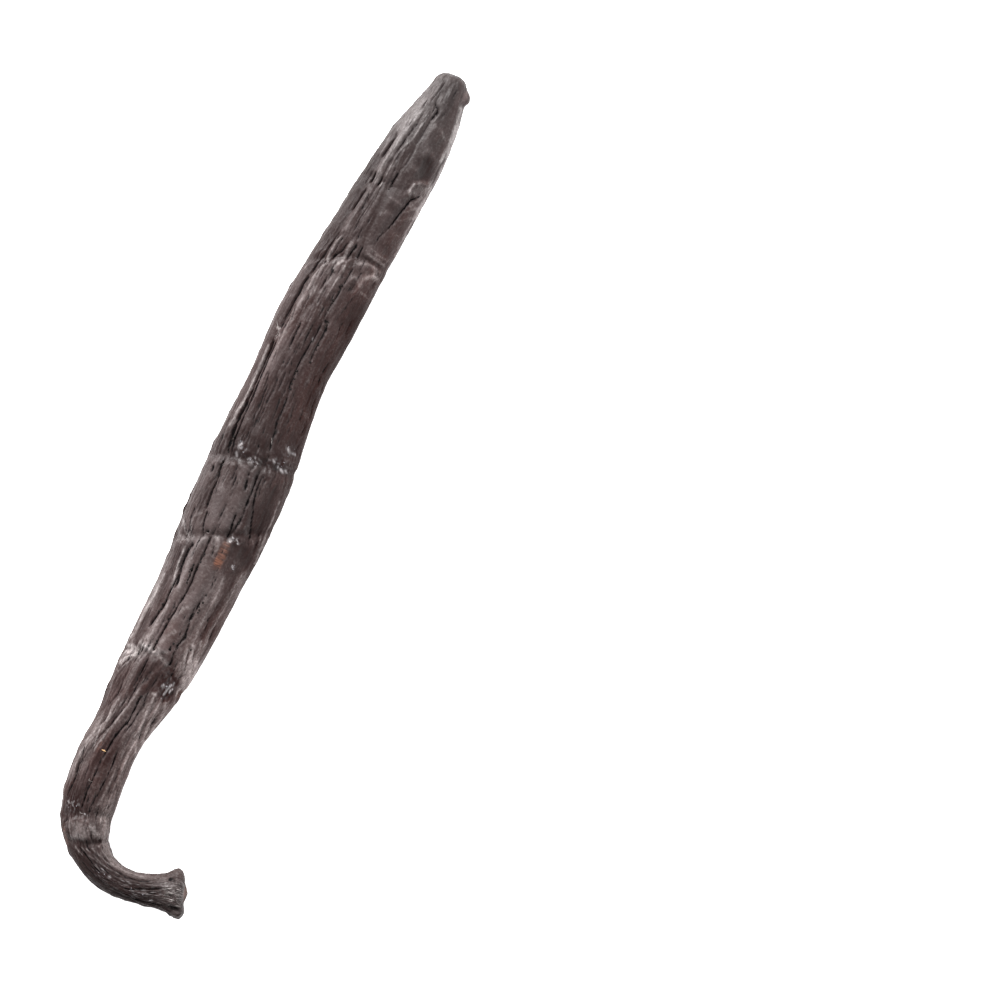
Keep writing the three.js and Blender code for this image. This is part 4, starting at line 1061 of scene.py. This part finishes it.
print(len(PAINTED_GLINTS), "wet glints")

# %% Oily, rubbed and brown places: along, across, half length, half width
OILY = [
    (68, -3, 1.2, .8), (69, -.6, .7, 1.4), (68.2, 3.8, 1, 2.2), (65.6, 4.5, .8, 1), (82, 2, .8, 1),
    (85.9, 3.6, .5, .4), (107.8, 2.9, 1.7, 1.1), (131, -2.4, 1.2, 1.3), (141.6, -.4, 1.6, 1),
    (148, -.4, 3, 1.6),
]
RUBBED = [      # and strength
    (84.9, 1.2, 2.25, .72, .6), (86.1, 1.1, .6, .6, .6), (121, -1.7, .9, .22, .2),
    (108, 5.3, .9, .22, .35), (135.3, -3.5, 1.6, .3, .3), (155.6, .2, .3, 1.6, .4),
]
WARMTH = [      # along, how colourful
    (0, .54), (12, .58), (25, .8), (45, .96), (60, .98), (70, .78), (85, .8), (104, .98), (112, 1.06),
    (128, 1.02), (138, .9), (156, .8),
]


def box_mask(*spot, strength):
    """A box with round corners on the upper side: its strength inside, and 0 outside."""
    lengthwise, crosswise = steps_from(*spot)
    return strength * upper * np.exp(-((lengthwise ** 4 + crosswise ** 4) ** 1.5))


# The rest of an oily place gets a weaker painted glint, broken up by noise.
OILY_PAINTED_GLINT = 0.15        # how much of a glint the rest of an oily place has
oily = np.clip(soft_places([(*spot, 1.0) for spot in OILY]), 0, 1)
painted_glint = np.maximum(painted_glint, OILY_PAINTED_GLINT * oily * smoothstep(pod_noise(0.6, 70, 73), 0.25, 0.5))
rubbed = np.clip(sum(box_mask(*spot, strength=strength) for *spot, strength in RUBBED), 0, 1)
# Browner on the side away from the light and underneath: partly the skin's own colour, partly painted shade.
brown_and_painted_shade = 0.5 * smoothstep(side, 0.15, 0.75) + below + red_here + 0.2 * smoothstep(along, 60, 100)
brown_and_painted_shade = np.clip(brown_and_painted_shade, 0, 1) * (1 - stalk)
# The side away from the light is painted more colourful too, as painted shade.
warmth = np.interp(along, *np.transpose(WARMTH)) * (1 + 0.35 * smoothstep(side, 0.2, 0.9))
matte = smoothstep(side, 0.4, 0.8) * between(along, 34, 40, 96, 102)
print("oily points:", (oily > 0.5).sum(), " rubbed points:", (rubbed > 0.5).sum())

# %% [markdown]
# ## Masks for the finish
# The finish reads what the mesh carries, one number for each point. The skin's lay is the place of
# each point on the pod as if it were straightened out, so a pattern in it follows every bend. The
# small forms' height says which places stand out: the finish is paler there, and darker in the low
# places, which is painted shade.

# %% What the mesh carries
FORM_SHARE = 0.4        # the main forms count less than the small ones in what stands out
radius = np.hypot(width_here * side, thickness_here * lift) * np.maximum(opened, 0.05)
# One mask holds the painted shade beside the cracks, along the hairlines and in the valleys.
for name, values in {
        "lay": np.column_stack([along, radius * side, radius * lift]), "crack": crack_paste_and_shade,
        "rise": form * FORM_SHARE + small_forms, "tint_and_painted_light": tint_and_painted_light, "shade": painted_light_and_tone, "stalk": stalk,
        "painted_groove_shade": np.clip(painted_groove_shade * 0.6 + hairline * 0.65 + valley * 0.5, 0, 1), "matte": matte,
        "fibrous": np.clip(fibrous + below, 0, 1) - 0.7 * plates, "warmth": warmth, "oily": oily,
        "painted_glint": painted_glint, "rubbed": rubbed, "brown_and_painted_shade": brown_and_painted_shade}.items():
    write_attribute(skin.data, name, values)
print("the skin carries:", ", ".join(item.name for item in skin.data.attributes if item.domain == "POINT"))

# %% [markdown]
# ## Shader groups shared by the finishes
# Two effects are groups that are built once. Mottling gives clouds, streaks, dark hairs and specks.
# Leathery grain gives a height for bump, with threads along the pod and fine pores. The skin's
# finish feeds both with its lay, and the small things feed the grain with their own coordinates.


# %% Mottling and grain
def stretch(tree, vector, scale):
    """The same coordinates, scaled differently on each axis."""
    return add(tree, "ShaderNodeMapping", {"Vector": vector, "Scale": scale}).outputs[0]


def noise(tree, vector, scale, detail=4.0, roughness=0.55, distortion=0.0):
    """Cloudy noise from 0 to 1."""
    return add(tree, "ShaderNodeTexNoise", {"Vector": vector, "Scale": scale, "Detail": detail,
                                            "Roughness": roughness, "Distortion": distortion}).outputs[0]


def ramp(tree, value, low, high, start=0.0, end=1.0):
    """Maps low..high of a value to start..end, and holds it there outside."""
    return add(tree, "ShaderNodeMapRange", [value, low, high, start, end], clamp=True).outputs[0]


MOTTLES = {     # share of the lengthwise scale; noise: scale, detail, roughness, distortion; range kept
    "Clouds": (0.35, (0.45, 3), (0.35, 0.65)),
    "Streaks": (0.11, (1.7, 5, 0.65), (0.35, 0.65)),
    "Hairs": (0.07, (4.2, 2, 0.6, 0.4), (0.36, 0.56)),
    "Specks": (0.7, (3.4, 3, 0.7), (0.38, 0.62)),
}


def mottle_group():
    """Clouds, streaks, dark hairs and specks, each from 0 to 1."""
    tree, given, result = new_tree("Mottling", "ShaderNodeTree",
                                   [("Vector", "Vector"), ("Size", "Float", 1.0)],
                                   [(name, "Float") for name in MOTTLES])
    scaled = add(tree, "ShaderNodeVectorMath", {"Vector": given["Vector"], "Scale": given["Size"]},
                 operation="SCALE").outputs[0]
    for name, (lengthwise, settings, kept) in MOTTLES.items():
        value = ramp(tree, noise(tree, stretch(tree, scaled, (lengthwise, 1, 1)), *settings), *kept)
        tree.links.new(value, result.inputs[name])
    return tree


def grain_group():
    """A height with threads along the pod and fine pores."""
    tree, given, result = new_tree(
        "Leathery grain", "ShaderNodeTree",
        [("Vector", "Vector"), ("Thread", "Float", 1.0), ("Pore", "Float", 1.0)], [("Height", "Float")])
    threads = noise(tree, stretch(tree, given["Vector"], (0.14, 1, 1)), 2.2, 6, 0.62, 0.3)
    pores = noise(tree, stretch(tree, given["Vector"], (0.6, 1, 1)), 3.0, 4, 0.65)
    height = plus(tree, times(tree, threads, given["Thread"]), times(tree, pores, given["Pore"]))
    tree.links.new(height, result.inputs["Height"])
    return tree


mottling, grain = mottle_group(), grain_group()
print("shader groups:", mottling.name, "and", grain.name)


# %% [markdown]
# ## The finish of the skin
# Cured skin is dark grey-brown. It is nearly black in the cracks, partly for the seed paste and
# partly as painted shade, and darker beside the cracks and in the hollows, as painted shade. It is
# paler and greyer on the ribs, partly with dried dust and partly with painted highlights, and browner
# on the side away from the light, partly as painted shade. It is waxy: a soft sheen everywhere, wet
# where oil has come out, with glints there that are painted highlights. Every colour is mixed by a
# mask from the mesh or by the mottling, so none of it is flat. The edge of each crack is made ragged
# by noise, and the rubbed place is hatched.

# %% Helpers for finishes
def mix_colour(tree, share, first, second):
    """Blends two colours by a share from 0 to 1."""
    return add(tree, "ShaderNodeMix", {0: share, 6: first, 7: second}, data_type="RGBA").outputs[2]


def mask(tree, name):
    """A mask that the mesh carries."""
    return add(tree, "ShaderNodeAttribute", attribute_name=name).outputs["Fac"]


def start_finish(material, mirror=0.5):
    """Clears a material's tree and gives it one Principled shader."""
    material.use_nodes = True
    tree = material.node_tree
    tree.nodes.clear()
    shader = add(tree, "ShaderNodeBsdfPrincipled", {"Specular IOR Level": mirror})
    add(tree, "ShaderNodeOutputMaterial", {"Surface": shader.outputs[0]})
    return tree, shader


def end_finish(tree, shader, colour, roughness, vector, thread, pore, strength, distance):
    """Joins colour and roughness to the shader, and bumps it with the grain."""
    tree.links.new(colour, shader.inputs["Base Color"])
    tree.links.new(roughness, shader.inputs["Roughness"])
    grained = add(tree, "ShaderNodeGroup", node_tree=grain)
    tree.links.new(vector, grained.inputs["Vector"])
    grained.inputs["Thread"].default_value = thread
    grained.inputs["Pore"].default_value = pore
    bump = add(tree, "ShaderNodeBump", {"Strength": strength, "Distance": distance * MM,
                                        "Height": grained.outputs["Height"]})
    tree.links.new(bump.outputs[0], shader.inputs["Normal"])


# %% Skin finish
SKIN_DARK = (0.0120, 0.0048, 0.0042, 1)
SKIN_BROWN = (0.045, 0.0250, 0.0230, 1)
SKIN_GREY = (0.082, 0.0595, 0.0585, 1)
SKIN_PALE = (0.30, 0.264, 0.258, 1)
SKIN_RED = (0.040, 0.0135, 0.0100, 1)
PAINTED_GLINT_COLOUR = (0.52, 0.49, 0.50, 1)
CRACK_PASTE_AND_SHADE = (0.0020, 0.0010, 0.0010, 1)
RUBBED_ORANGE = (0.125, 0.055, 0.037, 1)
RUBBED_DARK = (0.050, 0.023, 0.016, 1)
SKIN_MIRROR = 0.15
BROWN_AND_SHADE_SHARE, STALK_SHARE, GROOVE_SHADE_SHARE = 0.6, 0.45, 0.7     # how strong each layer is at its most
STREAK_SHARE, HAIR_SHARE, SPECK_SHARE = 0.65, 0.6, 0.07
RISE_RANGE, HOLLOW_SHADE_SHARE = (-0.16, 0.12), 0.6
SHADE_SHARE, DARK_SHADE, DARK_TINT = 0.55, 0.7, 0.85
PALE_RANGE = (0.4, 0.95)                                    # pale strokes are broken up by the specks
HATCH_EDGE, CRACK_EDGE = (0.42, 0.58), (0.3, 0.65)
GLOSS_RANGE, SPECK_GLOSS = (0.36, 0.50), 0.05
ROUGHNESS_GAINS = {"crack": 0.5, "matte": 0.24, "oily": -0.2}


def finish_skin(material):
    """Lays the skin's colours over one another, each by its own mask."""
    tree, shader = start_finish(material, SKIN_MIRROR)
    lay = add(tree, "ShaderNodeAttribute", attribute_name="lay").outputs["Vector"]
    mottled = add(tree, "ShaderNodeGroup", node_tree=mottling)
    tree.links.new(lay, mottled.inputs["Vector"])
    clouds, streaks, hairs, specks = mottled.outputs
    colour = mix_colour(tree, ramp(tree, clouds, 0, 1, 0.1, 1.0), SKIN_BROWN, SKIN_GREY)

    def paint(share, second):
        """Lays one more colour over what is there."""
        nonlocal colour
        colour = mix_colour(tree, share, colour, second)

    # Browner where the brown mask is: partly the skin's own red-brown, partly painted shade.
    paint(times(tree, mask(tree, "brown_and_painted_shade"), BROWN_AND_SHADE_SHARE), SKIN_RED)
    paint(times(tree, mask(tree, "stalk"), STALK_SHARE), SKIN_DARK)
    stringy = ramp(tree, mask(tree, "fibrous"), -1, 1)
    for strings, depth in ((streaks, STREAK_SHARE), (hairs, HAIR_SHARE)):
        paint(times(tree, ramp(tree, strings, 0, 1, depth, 0), stringy), SKIN_DARK)
    # Painted shade: the lower a place sits, the darker its colour.
    rise = ramp(tree, mask(tree, "rise"), *RISE_RANGE)
    paint(ramp(tree, rise, 0, 1, HOLLOW_SHADE_SHARE, 0), SKIN_DARK)
    paint(ramp(tree, mask(tree, "shade"), 0, -1, 0, DARK_SHADE), SKIN_DARK)
    # Pale and dark strokes and shades: partly dust and oil, partly painted highlights and painted shade.
    tinted_with_painted_light = plus(tree, mask(tree, "tint_and_painted_light"), times(tree, mask(tree, "shade"), SHADE_SHARE))
    pale = times(tree, ramp(tree, tinted_with_painted_light, 0, 1), ramp(tree, specks, 0, 1, *PALE_RANGE))
    paint(plus(tree, pale, times(tree, ramp(tree, specks, 0.5, 1), SPECK_SHARE)), SKIN_PALE)
    paint(ramp(tree, tinted_with_painted_light, 0, -1, 0, DARK_TINT), SKIN_DARK)
    # Painted shade beside the cracks, along the hairlines and in the valleys.
    paint(times(tree, mask(tree, "painted_groove_shade"), GROOVE_SHADE_SHARE), SKIN_DARK)
    colour = add(tree, "ShaderNodeHueSaturation",
                 {"Saturation": mask(tree, "warmth"), "Color": colour}).outputs[0]
    # Painted highlight: the glints are pale colour laid over the skin.
    paint(mask(tree, "painted_glint"), PAINTED_GLINT_COLOUR)
    hatch = noise(tree, stretch(tree, lay, (2.4, 0.5, 0.5)), 1.6, 3)
    orange = mix_colour(tree, ramp(tree, hatch, *HATCH_EDGE), RUBBED_DARK, RUBBED_ORANGE)
    paint(mask(tree, "rubbed"), orange)
    ragged_edge = ramp(tree, noise(tree, stretch(tree, lay, (0.7, 1, 1)), 2.6, 2), 0.32, 0.68, 0.45, 1.5)
    # Painted shade: the cracks, pits and hidden cracks are painted black, partly for the seed paste.
    paint(ramp(tree, times(tree, mask(tree, "crack"), ragged_edge), *CRACK_EDGE), CRACK_PASTE_AND_SHADE)
    speckled_gloss = ramp(tree, specks, 0, 1, SPECK_GLOSS, -SPECK_GLOSS)
    roughness = plus(tree, ramp(tree, clouds, 0, 1, *GLOSS_RANGE), speckled_gloss)
    for name, gain in ROUGHNESS_GAINS.items():
        roughness = plus(tree, roughness, times(tree, mask(tree, name), gain))
    end_finish(tree, shader, colour, roughness, lay, thread=0.6, pore=0.9, strength=0.8, distance=0.14)


finish_skin(skin_finish)
print("skin finish has", len(skin_finish.node_tree.nodes), "nodes")


# %% [markdown]
# ## Finishes of the small things
# Seeds are black and dull. Dried oil is grey and wet-looking, so it catches the light as tiny
# glints, and the paler clouds in its colour are painted glints as well. Fibres and loose strands
# are grey-brown and pale, and a fleck of dry flesh is straw yellow.
# All of them read Object coordinates, which are fine here because these pieces never bend.

# %% Small finishes
def small_finish(name, dark, pale, pattern_scale, gloss_low, gloss_high, mirror=0.5):
    """Two colours mixed by clouds of a given fineness, with roughness that follows them."""
    material = bpy.data.materials.new(name)
    tree, shader = start_finish(material, mirror)
    spot = add(tree, "ShaderNodeTexCoord").outputs["Object"]
    clouds = noise(tree, spot, pattern_scale, 3)
    colour = mix_colour(tree, ramp(tree, clouds, 0.38, 0.62), (*dark, 1), (*pale, 1))
    roughness = ramp(tree, clouds, 0.3, 0.7, gloss_low, gloss_high)
    in_mm = stretch(tree, spot, (1 / MM, 1 / MM, 1 / MM))
    end_finish(tree, shader, colour, roughness, in_mm, thread=0.4, pore=0.6, strength=0.3, distance=0.03)
    return material


SMALL_FINISHES = [  # name, dark and pale colour, fineness, roughness at its least and most, mirror
    ("black_seed", (0.002, 0.0015, 0.0015), (0.008, 0.005, 0.004), 2500, 0.6, 0.8, 0.15),
    # the pale clouds of the oil are painted glints
    ("dried_oil_and_painted_glint", (0.04, 0.036, 0.04), (0.24, 0.23, 0.25), 2500, 0.15, 0.3),
    ("torn_fibre", (0.035, 0.025, 0.022), (0.30, 0.27, 0.26), 1200, 0.35, 0.5),
    ("loose_strand", (0.10, 0.085, 0.08), (0.30, 0.27, 0.26), 900, 0.35, 0.5),
    ("straw_fleck", (0.32, 0.17, 0.07), (0.55, 0.36, 0.18), 1500, 0.35, 0.5),
]
seed_finish, oil_and_glint_finish, fibre_finish, strand_finish, straw_finish = (
    small_finish(*row) for row in SMALL_FINISHES)
print("finishes:", [material.name for material in bpy.data.materials])

# %% [markdown]
# ## Seeds, oil beads and fibres
# Three kinds of small things sit on the skin: black seeds in the cracks, beads of oil in the creases
# and stiff fibres on the torn end. Each kind is one small shape set on many points, which Geometry
# Nodes do best. The points come from the skin itself, so nothing floats. One tree serves all three:
# it takes the shape's size and tilt from the points.


# %% A tree that sets one small shape on every point
SMALL_SHAPES = {
    "bead": ("GeometryNodeMeshIcoSphere", {"Radius": 1.0, "Subdivisions": 2}),
    "fibre": ("GeometryNodeMeshCone", {"Vertices": 6, "Side Segments": 3, "Radius Top": 0.02,
                                       "Radius Bottom": 0.05, "Depth": 1.0}),
}


def scatter_tree(name, shape):
    """Instances of a small shape on points that carry a size and a direction."""
    tree, given, result = new_shape_tree(name, [("Flatness", "Float", 1.0), ("Turn Seed", "Int", 1)])
    small = add(tree, *SMALL_SHAPES[shape]).outputs["Mesh"]
    size = carried(tree, "size")
    facing = carried(tree, "facing", "FLOAT_VECTOR")
    turned = add(tree, "FunctionNodeAlignRotationToVector", {"Vector": facing}, axis="Z").outputs[0]
    spin = add(tree, "FunctionNodeRandomValue", {"Max": (0, 0, 2 * math.pi), "Seed": given["Turn Seed"]},
               data_type="FLOAT_VECTOR").outputs[0]
    turned = add(tree, "FunctionNodeRotateRotation", [turned, spin], rotation_space="LOCAL").outputs[0]
    scale = add(tree, "ShaderNodeCombineXYZ", [size, size, times(tree, size, given["Flatness"])]).outputs[0]
    whole = add(tree, "GeometryNodeInstanceOnPoints", {"Points": given["Geometry"], "Instance": small,
                                                       "Rotation": turned, "Scale": scale}).outputs[0]
    return end_shape_tree(tree, given, result, whole)


def scatter(name, shape, places, sizes, facings, flatness, seed, material):
    """Sets a small shape on skin places, in millimetres, and returns the plain mesh object."""
    holder = new_points(name + "_points", places, size=sizes * MM, facing=facings)
    values = {"Flatness": flatness, "Turn Seed": seed, "Material": material}
    return grow(name, holder, scatter_tree(name, shape), values)


top = np.flatnonzero(upper > 0.5)


def on_skin(spots):
    """The upper skin's points that lie nearest to places (along, across)."""
    return np.array([top[np.argmin((drawn[top, 0] - s) ** 2 + (drawn[top, 1] - a) ** 2)] for s, a in spots])


print("the upper skin has", len(top), "points to choose from")

# %% Seeds in the cracks
SEED_RADIUS, SEED_GAP, SEED_JITTER, SEED_FLATNESS, SEED_SINK = 0.18, 0.5, 0.07, 0.8, 0.02
SEEDED = [      # stretches of crack where the seeds show, as paths
    (36, .85, 42.4, .5), (44.3, 1.75, 51.3, 1.85), (46, -2.3, 51, -2.1), (18, -.7, 20.4, -.65),
    (66.5, -4.8, 69.6, -4.6), (70.6, -4.85, 73.7, -4.5, 79, -4.3), (72.5, 1.45, 79.5, 1.6),
    (84, -1.6, 91.5, -1.35), (88, -2.3, 91.3, -2.05), (85.8, -4, 90.2, -3.9), (94, -3.85, 98.5, -4.1),
    (92.6, 1.6, 97.6, 1.3), (93.4, -1.45, 98.2, -1.9, 103.4, -2), (98.8, 1.75, 102.2, 1.2),
    (100.8, .5, 102.4, .45), (110.8, -.1, 113, .15), (52, .4, 57, .7),
]
rng = np.random.default_rng(7)


def along_paths(paths, gap, jitter):
    """Places about a gap apart along several paths, each moved a little."""
    spots = []
    for path in paths:
        path = np.reshape(path, (-1, 2))
        reached = np.concatenate([[0], np.cumsum(np.hypot(*np.diff(path, axis=0).T))])
        steps = np.arange(0.2, reached[-1], gap)
        steps = steps + rng.uniform(-0.4, 0.4, len(steps)) * gap
        spots += [(np.interp(t, reached, path[:, 0]), np.interp(t, reached, path[:, 1])) for t in steps]
    return np.array(spots) + rng.normal(0, jitter, (len(spots), 2))


seeds_at = on_skin(along_paths(SEEDED, SEED_GAP, SEED_JITTER))
seed_sizes = SEED_RADIUS * rng.uniform(0.7, 1.15, len(seeds_at))
seed_places = skin_points[seeds_at] - outward[seeds_at] * SEED_SINK
seeds = scatter("seeds", "bead", seed_places, seed_sizes, outward[seeds_at], SEED_FLATNESS, 3, seed_finish)
print(len(seeds_at), "seeds,", len(seeds.data.polygons), "faces")

# %% Beads of oil in the creases
BEAD_RADIUS, BEADS_EACH, BEAD_FLATNESS = 0.09, 5, 0.45
bead_spots = np.vstack([rng.normal(0, 0.45, (BEADS_EACH, 2)) * (reach_s, reach_a) + (s, a)
                        for s, a, reach_s, reach_a in OILY])
beads_at = on_skin(bead_spots)
bead_sizes = BEAD_RADIUS * rng.uniform(0.4, 1.2, len(beads_at))
beads = scatter("oil_beads", "bead", skin_points[beads_at], bead_sizes, outward[beads_at], BEAD_FLATNESS, 5,
                oil_and_glint_finish)
print(len(beads_at), "beads of oil,", len(beads.data.polygons), "faces")

# %% Fibres on the torn end
FIBRE_COUNT, FIBRE_LENGTH, FIBRE_ROOT = 130, 0.9, 0.05
FIBRE_RISE, FIBRE_TANGLE = 0.16, 0.13       # how far they lean out of the skin, and away from each other
fibre_spots = np.column_stack([rng.uniform(152.0, 155.3, FIBRE_COUNT), rng.normal(0.1, 0.9, FIBRE_COUNT)])
fibres_at = on_skin(fibre_spots)
fibre_lean = stalk_way[fibres_at] + FIBRE_RISE * outward[fibres_at]
fibre_lean += rng.normal(0, FIBRE_TANGLE, (FIBRE_COUNT, 3))
fibre_sizes = FIBRE_LENGTH * rng.uniform(0.5, 1.1, FIBRE_COUNT)
fibre_sizes *= 1 - 0.5 * smoothstep(along[fibres_at], 153.5, 155.2)
fibre_places = skin_points[fibres_at] - outward[fibres_at] * FIBRE_ROOT
fibres = scatter("torn_fibres", "fibre", fibre_places, fibre_sizes, fibre_lean, 1.0, 9, fibre_finish)
print(FIBRE_COUNT, "fibres,", len(fibres.data.polygons), "faces")

# %% [markdown]
# ## Stray strands
# A few hair-fine strands have come loose and lie on the skin, and so does one fleck of dry yellow
# flesh. A strand could be a bevelled curve object, but one Geometry Nodes tree turns all their paths
# to tubes at once: the edges become curves, and a small circle is swept along each, as wide as the
# points say.

# %% Strands: radius, path
STRANDS = [
    (.045, 64.7, 1, 65, 1.2, 65.4, 1.35, 65.8, 1.4),
    (.03, 126.1, -1.1, 126.4, -1.15, 126.65, -1, 126.75, -.75, 126.7, -.5),
    (.04, 47.6, -6, 48.1, -5.6, 48.6, -5.2, 49, -4.9, 49.5, -4.9, 50, -5.2),
    (.03, 131.7, -1.2, 131.8, -.9, 131.9, -.5),
]
STRAW = [
    (.11, 121.2, -1.15, 121.3, -.8, 121.35, -.4), (.06, 121.6, -1, 121.45, -.7, 121.35, -.45),
]
STRAND_STEPS, STRAND_SIDES = 14, 6
STRAND_LIFT, STRAND_TAPER = 0.6, 0.7


def strand_tree():
    """Edges with a size in, thin tubes out."""
    tree, given, result = new_shape_tree("Tubes along paths", [("Sides", "Int", 6)])
    curve = add(tree, "GeometryNodeMeshToCurve", [given["Geometry"]]).outputs[0]
    circle = add(tree, "GeometryNodeCurvePrimitiveCircle",
                 {"Resolution": given["Sides"], "Radius": 1.0}).outputs["Curve"]
    sized = {"Curve": curve, "Profile Curve": circle, "Scale": carried(tree, "size"), "Fill Caps": True}
    tubes = add(tree, "GeometryNodeCurveToMesh", sized).outputs[0]
    return end_shape_tree(tree, given, result, tubes)


def lay_strands(name, rows, material):
    """Tubes that lie on the skin along paths, thinner towards their ends."""
    tube_points, tube_edges, tube_sizes = [], [], []
    for radius, *path in rows:
        path = np.reshape(path, (-1, 2))
        steps = np.linspace(0, len(path) - 1, STRAND_STEPS)
        at = on_skin([(np.interp(t, range(len(path)), path[:, 0]), np.interp(t, range(len(path)), path[:, 1]))
                      for t in steps])
        places = skin_points[at] + radius * STRAND_LIFT * outward[at]
        for _ in range(3):
            places[1:-1] = (places[:-2] + places[1:-1] + places[2:]) / 3
        first = len(tube_sizes)
        tube_points += places.tolist()
        tube_edges += [(first + i, first + i + 1) for i in range(STRAND_STEPS - 1)]
        tube_sizes += (radius * MM * (1 - STRAND_TAPER * np.linspace(-1, 1, STRAND_STEPS) ** 4)).tolist()
    paths = new_points(name + "_paths", tube_points, tube_edges, size=tube_sizes)
    return grow(name, paths, strand_tree(), {"Sides": STRAND_SIDES, "Material": material})


strands = lay_strands("stray_strands", STRANDS, strand_finish)
straw = lay_strands("straw_fleck", STRAW, straw_finish)
print(len(STRANDS), "strands,", len(strands.data.polygons), "faces, and a fleck of", len(straw.data.polygons))

# %% [markdown]
# ## Who rides on what
# The skin stands for the frame's plain solid, which then hides, and everything moves with the one
# body.

# %% Tie the pieces to the frame
for piece in (skin, seeds, beads, fibres, strands, straw):
    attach(piece, "root")
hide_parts("pod")

# %% [markdown]
# ## Floor, light and camera
# The pod lies on a plain white table in soft studio light. The table glows a little, as a light
# table does, which keeps the shadow pale. The sky is bright all round and darker overhead, as in a
# room with white walls. A large softbox stands beyond the top of the picture, a little to the left,
# so the folds that face the tip catch it, and a weaker one on the right fills the dark side. The
# camera looks straight down through a long lens.

# %% Table
TABLE_HALF, TABLE_GREY, TABLE_GLOW = 1500, 0.93, 0.75
corners = [(x * TABLE_HALF, y * TABLE_HALF, 0.0) for x, y in ((-1, -1), (1, -1), (1, 1), (-1, 1))]
table = new_points("table", corners, faces=[(0, 1, 2, 3)])
table_finish = bpy.data.materials.new("white_table")
tree, shader = start_finish(table_finish)
shader.inputs["Base Color"].default_value = (TABLE_GREY, TABLE_GREY, TABLE_GREY, 1)
shader.inputs["Roughness"].default_value = 0.9
shader.inputs["Emission Color"].default_value = (1, 1, 1, 1)
shader.inputs["Emission Strength"].default_value = TABLE_GLOW
table.data.materials.append(table_finish)
print("table of", 2 * TABLE_HALF / 1000, "metres")

# %% Sky
ZENITH, HORIZON = 0.11, 1.95              # brightness of the sky overhead and all round
DIM_SIDE, BRIGHT_SIDE = 0.85, 1.15        # how much of it the picture's lower right and upper left get
ROLL = math.radians(27)
picture_right = Vector((math.cos(ROLL), math.sin(ROLL), 0))
picture_up = Vector((-math.sin(ROLL), math.cos(ROLL), 0))

scene = bpy.context.scene
scene.view_settings.view_transform = "Standard"
scene.world = bpy.data.worlds.new("white_sky")
scene.world.use_nodes = True
sky = scene.world.node_tree
way = add(sky, "ShaderNodeTexCoord").outputs["Generated"]
level = add(sky, "ShaderNodeSeparateXYZ", [way]).outputs["Z"]
upper_left = tuple(0.8 * picture_up - 0.6 * picture_right)
sideways = add(sky, "ShaderNodeVectorMath", [way, upper_left], operation="DOT_PRODUCT").outputs["Value"]
brightness = times(sky, ramp(sky, calc(sky, "ABSOLUTE", level), 0, 1, HORIZON, ZENITH),
                   ramp(sky, sideways, -1, 1, DIM_SIDE, BRIGHT_SIDE))
sky.nodes["Background"].inputs["Color"].default_value = (1, 1, 1, 1)
sky.links.new(brightness, sky.nodes["Background"].inputs["Strength"])
print("sky from", HORIZON, "down to", ZENITH, "overhead")

# %% Softboxes
SOFTBOX_SIZE, SOFTBOX_DISTANCE = 0.36, 0.6
SOFTBOXES = [   # name, watts, direction: right in the picture, up in the picture, above the table
    ("key_softbox", 12.2, (-0.35, 0.75, 0.6)),
    ("fill_softbox", 2.2, (0.9, -0.3, 0.5)),
]
for name, watts, (right_share, up_share, height_share) in SOFTBOXES:
    softbox = new_object(name, bpy.data.lights.new(name, "AREA"))
    softbox.data.size = SOFTBOX_SIZE
    softbox.data.energy = watts
    towards = picture_right * right_share + picture_up * up_share + Vector((0, 0, height_share))
    softbox.location = towards * SOFTBOX_DISTANCE
    softbox.rotation_euler = softbox.location.to_track_quat("Z", "Y").to_euler()
    print(name, "at", [round(value, 2) for value in softbox.location])

# %% Camera
FRAME_WIDTH = 160.0                       # millimetres across the picture, at the pod's mid height
FRAME_MIDDLE_FROM_TIP = (37.4, -56.75)    # from the start of the spine to below the lens
MID_HEIGHT = 4.0
LENS, SENSOR = 200, 36
tip_start = np.array([np.interp(0, walk, walk_x), np.interp(0, walk, walk_y)]) + shift[:2]
camera = new_object("camera", bpy.data.cameras.new("camera"))
camera.data.lens = LENS
camera.data.sensor_width = SENSOR
below_lens = tip_start + FRAME_MIDDLE_FROM_TIP
camera.location = Vector((*below_lens, FRAME_WIDTH * LENS / SENSOR + MID_HEIGHT)) * MM
camera.rotation_euler = (0, 0, ROLL)
scene.camera = camera
print("camera at", [round(value, 3) for value in camera.location])
